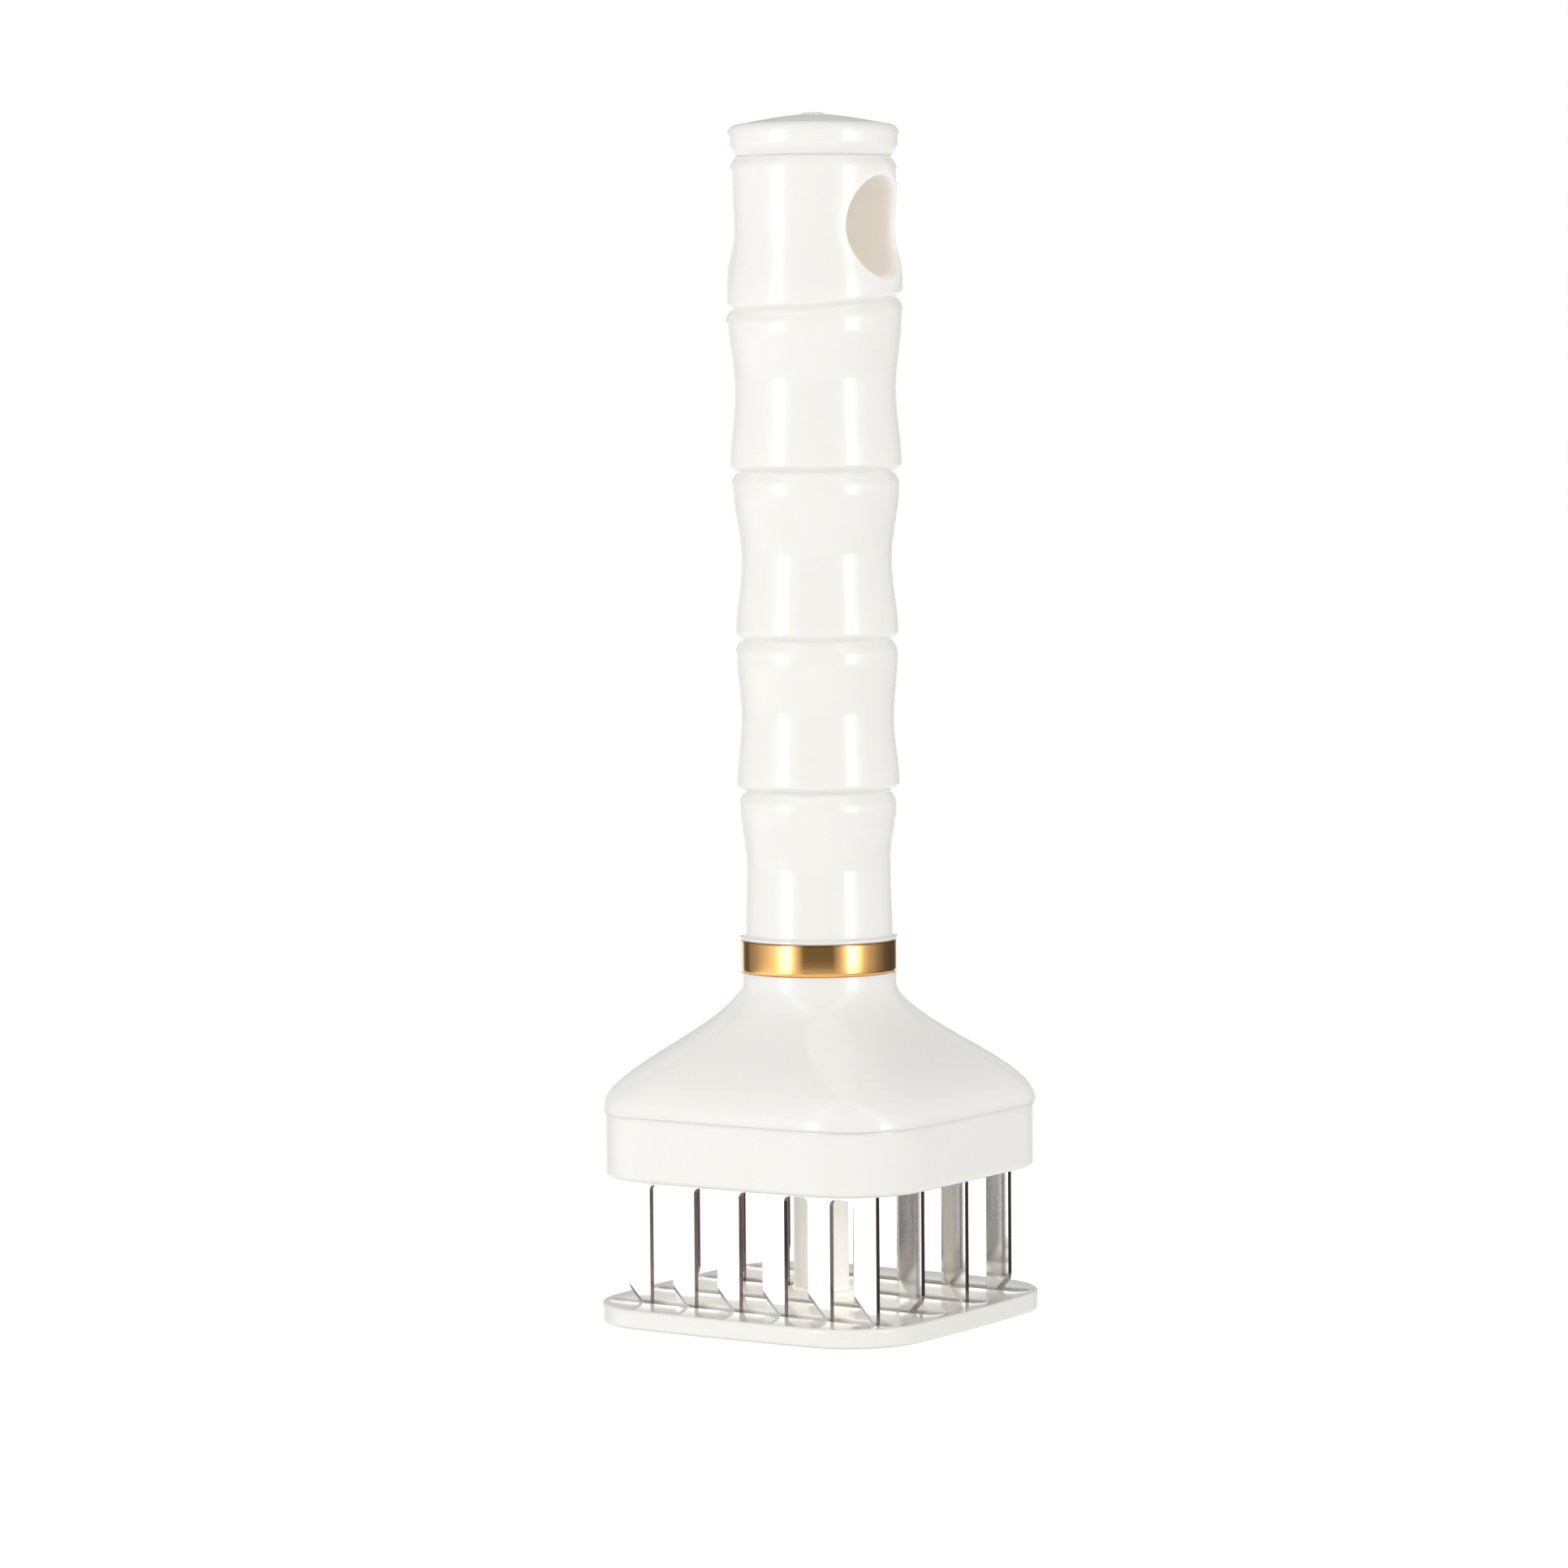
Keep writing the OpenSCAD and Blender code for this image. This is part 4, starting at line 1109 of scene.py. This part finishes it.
class TENDERIZER_OT_guard_plate(bpy.types.Operator):
    """Guard plate with its four slots, soft rim and the collar round the post's foot"""

    bl_idname = "tenderizer.guard_plate"
    bl_label = "Guard plate"

    def execute(self, context):
        s = context.scene.tenderizer.guard
        colours = context.scene.tenderizer.finish
        half = s.width / 2
        rim = rounded(PLATE_TOP, half, -s.edge, s.edge, 10)
        wall_foot = s.edge + 0.0001
        rim += [(PLATE_TOP - wall_foot, half), (wall_foot, half)]
        rim += rounded(0, half, s.edge, s.edge, 10)[::-1]
        bm = bmesh.new()
        place = square_place(cornered(rim, half, s.corner), s.bow)
        rings = stack(bm, len(rim), 320, place)
        top, bottom = [rings[0]], [rings[-1]]
        r, soft = s.slot / 2, s.slot_edge
        slot = rounded(PLATE_TOP, r, -soft, -soft, 4) + rounded(0, r, soft, -soft, 4)[::-1]
        for y in ROWS:
            place = round_place(slot, 0.0, y, COMB_END + s.slot_end - r)
            made = stack(bm, len(slot), 40, place, offset=pi / 40)
            top.append(made[0])
            bottom.append(made[-1])
        edge, sunk, shank = 0.00015, 0.0015, 0.0013
        screw = [(0, HEAD_HOLE_R + edge), (edge, HEAD_HOLE_R), (sunk, HEAD_HOLE_R)]
        screw += [(sunk, shank), (PLATE_TOP, shank)]
        made = stack(bm, len(screw), 40, round_place(screw))
        bottom.append(made[0])
        top.append(made[-1])
        fill_between(bm, top, 1)
        fill_between(bm, bottom, -1)
        land = ROWS[2] - s.slot / 2 - soft - 0.00002
        sink, flare, brim = 0.0003, 0.0002, 0.0003
        up = PLATE_TOP + s.collar_up
        collar = [(PLATE_TOP - sink, s.post + FIT), (PLATE_TOP - sink, s.collar + flare)]
        for share in (0, sin(pi / 6), sin(pi / 3), 1):
            collar.append((PLATE_TOP + flare * share, s.collar + flare * (1 - share)))
        collar += rounded(up, s.collar, -brim, brim, 5)[::-1] + [(up, s.post + FIT)]
        collar_place = round_place(collar)

        def cut_back(k, turn):
            """Keeps the collar on the land between the two middle slots."""
            point = collar_place(k, turn)
            point.y = max(-land, min(land, point.y))
            return point

        stack(bm, len(collar), 96, cut_back, closed=True)
        # The guard plate takes a painted glow where it lies in shade under the head
        material = plastic(
            "white guard moulding", colours.guard, colours.body_deep, 0.1, peel=0.012,
            painted_glow=painted_glow_under_head(colours, 0.0016),
        )
        finished(bm, "slotted_guard", [material], "guard", ["guard_plate"])
        return {"FINISHED"}


class TENDERIZER_OT_guard_post(bpy.types.Operator):
    """Round post that carries the guard plate"""

    bl_idname = "tenderizer.guard_post"
    bl_label = "Guard post"

    def execute(self, context):
        s = context.scene.tenderizer.guard
        colours = context.scene.tenderizer.finish
        top = high("guard_post").z
        soft, steps = 0.0004, 24
        foot_end, head_start = PLATE_TOP + s.bore_deep, top - s.bore_deep
        profile = [(foot_end, 0), (foot_end, s.post_bore), (PLATE_TOP, s.post_bore)]
        profile += rounded(PLATE_TOP, s.post, soft, soft, 5)
        profile += [(PLATE_TOP + (top - PLATE_TOP) * i / steps, s.post) for i in range(1, steps)]
        profile += rounded(top, s.post, -soft, soft, 5)[::-1]
        profile += [(top, s.post_bore), (head_start, s.post_bore), (head_start, 0)]
        bm = bmesh.new()
        turned(bm, profile, 96)
        # The post takes the painted glow under the head too
        material = plastic(
            "warm post moulding", colours.body, colours.body_deep, 0.12,
            painted_glow=painted_glow_under_head(colours, 0.01),
        )
        finished(bm, "guide_post", [material], "guard", ["guard_post"])
        return {"FINISHED"}


class TENDERIZER_OT_return_spring(bpy.types.Operator):
    """Coiled return spring at the length of its solid; in the tool it shortens as the guard slides
    up
    """

    bl_idname = "tenderizer.return_spring"
    bl_label = "Return spring"

    def execute(self, context):
        s = context.scene.tenderizer.spring
        colours = context.scene.tenderizer.finish
        bottom, top = low("return_spring").z, high("return_spring").z
        turn_r = high("return_spring").x - s.wire
        open_turns = s.turns - 2
        open_pitch = (top - bottom - 2 * s.wire - 2 * s.close_pitch) / open_turns
        around = 36
        bm = bmesh.new()
        section = bmesh.ops.create_circle(bm, cap_ends=False, segments=12, radius=s.wire)["verts"]
        for vert in section:
            vert.co = (turn_r + vert.co.x, 0, bottom + s.wire + vert.co.y)
        section = section + ring_edges(section)
        for turns, pitch in ((1, s.close_pitch), (open_turns, open_pitch), (1, s.close_pitch)):
            section = bmesh.ops.spin(
                bm, geom=section, cent=(0, 0, 0), axis=(0, 0, 1), dvec=(0, 0, pitch / around),
                angle=2 * pi * turns, steps=around * turns,
            )["geom_last"]
        bmesh.ops.holes_fill(bm, edges=[e for e in bm.edges if e.is_boundary])
        wire = metal("spring wire", colours.drawn, colours.facet, 0.2, (2600.0, 2600.0, 2600.0))
        spring = finished(bm, "coiled_spring", [wire], "tool", ["return_spring"])
        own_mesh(spring)
        return {"FINISHED"}


class TENDERIZER_OT_screws(bpy.types.Operator):
    """Screws of the base, the washer and the plate, which keep their solids"""

    bl_idname = "tenderizer.screws"
    bl_label = "Screws"

    def execute(self, context):
        colours = context.scene.tenderizer.finish
        zinc = metal(
            "bright zinc", colours.zinc, colours.drawn, 0.26, (2400.0, 2400.0, 300.0), density=0.55
        )
        dress(zinc, "base_screws", "stop_screw", "plate_screw")
        return {"FINISHED"}


class TENDERIZER_OT_rods_and_washer(bpy.types.Operator):
    """Steel rods through the combs and the stop washer, which keep their solids"""

    bl_idname = "tenderizer.rods_and_washer"
    bl_label = "Rods and washer"

    def execute(self, context):
        colours = context.scene.tenderizer.finish
        drawn = metal("drawn steel", colours.drawn, colours.facet, 0.22, (3000.0, 90.0, 3000.0))
        dress(drawn, "comb_rods", "stop_washer")
        return {"FINISHED"}


class TENDERIZER_OT_inner_mouldings(bpy.types.Operator):
    """Sleeves on the rods, guide bush and spring seat, which keep their solids"""

    bl_idname = "tenderizer.inner_mouldings"
    bl_label = "Inner mouldings"

    def execute(self, context):
        colours = context.scene.tenderizer.finish
        inner = plastic("inner moulding", colours.inner, colours.body_deep, 0.42, peel=0.06)
        dress(inner, "comb_spacers", "guide_bush", "spring_seat")
        return {"FINISHED"}


# Studio


def studio_floor():
    """Pale table top that shows white and keeps a soft shadow."""
    material = bpy.data.materials.new("studio floor")
    tree = empty_tree(material)
    place = object_place(tree)
    far = add(tree, "ShaderNodeVectorMath", {"operation": "LENGTH"}, Vector=place).outputs["Value"]
    grain = add(tree, "ShaderNodeTexNoise", Vector=place, Scale=40.0, Detail=3.0).outputs["Fac"]
    tone = blended(tree, grain, (0.8, 0.8, 0.8, 1), (0.78, 0.78, 0.78, 1))
    pale = add(tree, "ShaderNodeBsdfDiffuse", Color=tone)
    half = add(tree, "ShaderNodeBsdfDiffuse", Color=(0.42, 0.42, 0.415, 1))
    spread = fade(tree, far, 0.03, 0.12, 0.74, 1.0)
    white = add(tree, "ShaderNodeEmission", Color=(1, 1, 1, 1), Strength=spread)
    both = tree.nodes.new("ShaderNodeAddShader")
    tree.links.new(half.outputs[0], both.inputs[0])
    tree.links.new(white.outputs[0], both.inputs[1])
    path = tree.nodes.new("ShaderNodeLightPath").outputs
    seen = maths(tree, "MAXIMUM", path["Is Camera Ray"], path["Is Transmission Ray"])
    mixed = tree.nodes.new("ShaderNodeMixShader")
    for socket, value in zip(mixed.inputs, (seen, pale.outputs[0], both.outputs[0])):
        tree.links.new(value, socket)
    output = tree.nodes.new("ShaderNodeOutputMaterial")
    tree.links.new(mixed.outputs[0], output.inputs["Surface"])
    return material


# What the gloss sees round the tool, as (degrees to the right of the camera, brightness): a dark
# gap round the camera, a bright panel on each side of it, dark flags behind those and white at
# the back
SURROUND = (
    (-180, 1.2), (-150, 1.2), (-140, 0.15), (-128, 0.11), (-119, 0.3), (-103, 0.45), (-82, 0.85),
    (-70, 1.2), (-61, 1.9), (-54, 4.6), (-46, 4.6), (-39, 1.7), (-33, 0.9), (-23, 0.2),
    (-18, 0.17), (20, 0.17), (31, 0.7), (39, 1.4), (45, 4.8), (53, 4.8), (61, 2.0), (69, 0.95),
    (78, 0.6), (96, 0.3), (112, 0.13), (130, 0.08), (148, 0.1), (158, 1.2), (180, 1.2),
)

# The same for gloss that looks down at the table: pale all round, brighter at the left
TABLE = (
    (-180, 1.2), (-150, 1.2), (-140, 0.2), (-122, 0.2), (-105, 0.9), (-90, 1.5), (-60, 1.5),
    (-40, 0.95), (40, 0.8), (65, 0.65), (85, 0.35), (105, 0.13), (142, 0.1), (154, 1.2), (180, 1.2),
)


def all_round(tree, share, pattern):
    """Brightness by direction, from a pattern, for a share of the way round."""
    brightest = max(level for _, level in pattern)
    ramp = tree.nodes.new("ShaderNodeValToRGB")
    while len(ramp.color_ramp.elements) < len(pattern):
        ramp.color_ramp.elements.new(0.5)
    for element, (degrees, level) in zip(ramp.color_ramp.elements, pattern):
        shade = level / brightest
        element.position = (degrees + 180) / 360
        element.color = (shade, shade, shade, 1)
    tree.links.new(share, ramp.inputs[0])
    return maths(tree, "MULTIPLY", ramp.outputs["Color"], brightest)


def chosen(tree, share, first, second):
    """The first of two brightnesses where share is 0, and the second where it is 1."""
    node = add(tree, "ShaderNodeMix", {"data_type": "FLOAT"}, Factor=share)
    feed(tree, node.inputs[2], first)
    feed(tree, node.inputs[3], second)
    return node.outputs[0]


def studio_world(scene, azimuth, around, above):
    """Even light from all round, dimmer overhead, and the panels and flags that the gloss sees."""
    world = bpy.data.worlds.new("studio")
    scene.world = world
    tree = empty_tree(world)
    way = tree.nodes.new("ShaderNodeTexCoord").outputs["Generated"]
    parts = add(tree, "ShaderNodeSeparateXYZ", Vector=way).outputs
    up = parts["Z"]
    turn = maths(tree, "ARCTAN2", parts["X"], maths(tree, "MULTIPLY", parts["Y"], -1.0))
    share = maths(tree, "DIVIDE", maths(tree, "SUBTRACT", turn, azimuth), 2 * pi)
    share = maths(tree, "FRACT", maths(tree, "ADD", share, 1.5))
    table, surround = all_round(tree, share, TABLE), all_round(tree, share, SURROUND)
    level = blended(tree, fade(tree, up, -0.126, -0.106, 0.0, 1.0), table, surround)
    behind = maths(tree, "ABSOLUTE", maths(tree, "SUBTRACT", share, 0.5))
    panels, back_wall = fade(tree, up, 0.0, 0.6, 1.0, 0.3), fade(tree, up, 0.05, 0.12, 1.0, 0.4)
    fall = blended(tree, fade(tree, behind, 0.35, 0.42, 0.0, 1.0), panels, back_wall)
    gloss = maths(tree, "MULTIPLY", level, fall)
    gloss = blended(tree, fade(tree, up, -0.35, -0.22, 0.0, 1.0), (1, 1, 1, 1), gloss)
    even = maths(tree, "MULTIPLY", fade(tree, up, 0.1, 0.95, 1.0, above), around)
    path = tree.nodes.new("ShaderNodeLightPath").outputs
    mirrored = maths(tree, "MAXIMUM", path["Is Glossy Ray"], path["Is Transmission Ray"])
    seen = chosen(tree, mirrored, even, gloss)
    shown = chosen(tree, path["Is Camera Ray"], seen, 1.0)
    back = add(tree, "ShaderNodeBackground", Color=(1, 1, 1, 1), Strength=shown)
    output = tree.nodes.new("ShaderNodeOutputWorld")
    tree.links.new(back.outputs[0], output.inputs["Surface"])


def lamp(scene, name, watts, width, height, azimuth, distance, up):
    """A soft rectangular lamp that looks at the handle; the gloss doesn't see it."""
    data = bpy.data.lights.new(name, "AREA")
    data.shape = "RECTANGLE"
    data.size, data.size_y, data.energy = width, height, watts
    thing = bpy.data.objects.new(name, data)
    scene.collection.objects.link(thing)
    aim = Vector((0, 0, 0.1))
    thing.location = Vector((sin(azimuth) * distance, -cos(azimuth) * distance, up))
    thing.rotation_mode = "QUATERNION"
    thing.rotation_quaternion = (aim - thing.location).to_track_quat("-Z", "Y")
    thing.visible_glossy = False


class TENDERIZER_OT_studio(bpy.types.Operator):
    """Floor, light and camera"""

    bl_idname = "tenderizer.studio"
    bl_label = "Studio"

    def execute(self, context):
        scene = context.scene
        s = scene.tenderizer.studio
        bm = bmesh.new()
        bmesh.ops.create_grid(bm, x_segments=8, y_segments=8, size=3.0)
        bmesh.ops.translate(bm, verts=bm.verts, vec=(0, 0, low("guard_plate").z - 0.00004))
        mesh = bpy.data.meshes.new("studio_floor")
        bm.to_mesh(mesh)
        bm.free()
        mesh.materials.append(studio_floor())
        floor = bpy.data.objects.new("studio_floor", mesh)
        scene.collection.objects.link(floor)
        floor.visible_glossy = False
        studio_world(scene, s.azimuth, s.around, s.overhead)
        lamp(scene, "key_lamp", s.key, 0.7, 0.5, s.azimuth - 1.05, 1.0, 0.2)
        lamp(scene, "fill_lamp", s.fill, 0.7, 0.5, s.azimuth + 1.08, 1.0, 0.2)
        lamp(scene, "strip_left", s.strip, 0.2, 0.32, s.azimuth - 0.85, 0.6, 0.12)
        lamp(scene, "strip_right", s.strip, 0.16, 0.32, s.azimuth + 0.87, 0.6, 0.12)
        data = bpy.data.cameras.new("photo_view")
        data.lens, data.shift_x = s.lens, s.shift
        data.clip_start, data.clip_end = 0.05, 20.0
        camera = bpy.data.objects.new("photo_view", data)
        scene.collection.objects.link(camera)
        back = Vector((sin(s.azimuth), -cos(s.azimuth), 0))
        right = Vector((cos(s.azimuth), sin(s.azimuth), 0))
        forward = -cos(s.pitch) * back + sin(s.pitch) * Vector((0, 0, 1))
        upward = right.cross(forward)
        turn = Matrix((right, upward, -forward)).transposed().to_4x4()
        spot = Matrix.Translation(back * s.distance + Vector((0, 0, s.height)))
        camera.matrix_world = spot @ turn @ Matrix.Rotation(s.roll, 4, "Z")
        scene.camera = camera
        scene.view_settings.view_transform = "Standard"
        return {"FINISHED"}


class TENDERIZER_PT_pieces(bpy.types.Panel):
    """Lists the operators that build the tool and its studio"""

    bl_label = "Needle meat tenderizer"
    bl_idname = "TENDERIZER_PT_pieces"
    bl_space_type = "VIEW_3D"
    bl_region_type = "UI"
    bl_category = "Tenderizer"

    def draw(self, context):
        for operator in OPERATORS:
            self.layout.operator(operator.bl_idname)


OPERATORS = (
    TENDERIZER_OT_handle, TENDERIZER_OT_end_cap, TENDERIZER_OT_collar_ring,
    TENDERIZER_OT_head_shell, TENDERIZER_OT_head_base, TENDERIZER_OT_blade_combs,
    TENDERIZER_OT_guard_plate, TENDERIZER_OT_guard_post, TENDERIZER_OT_return_spring,
    TENDERIZER_OT_screws, TENDERIZER_OT_rods_and_washer, TENDERIZER_OT_inner_mouldings,
    TENDERIZER_OT_studio,
)
CLASSES = (
    HandleSizes, CapSizes, CollarSizes, HeadSizes, BladeSizes, GuardSizes, SpringSizes,
    Finishes, StudioSettings, TenderizerSettings, *OPERATORS, TENDERIZER_PT_pieces,
)


def register():
    for made in CLASSES:
        bpy.utils.register_class(made)
    bpy.types.Scene.tenderizer = PointerProperty(type=TenderizerSettings)


def unregister():
    del bpy.types.Scene.tenderizer
    for made in reversed(CLASSES):
        bpy.utils.unregister_class(made)


def main():
    register()
    for operator in OPERATORS:
        family, name = operator.bl_idname.split(".")
        getattr(getattr(bpy.ops, family), name)()


if __name__ == "__main__":
    main()
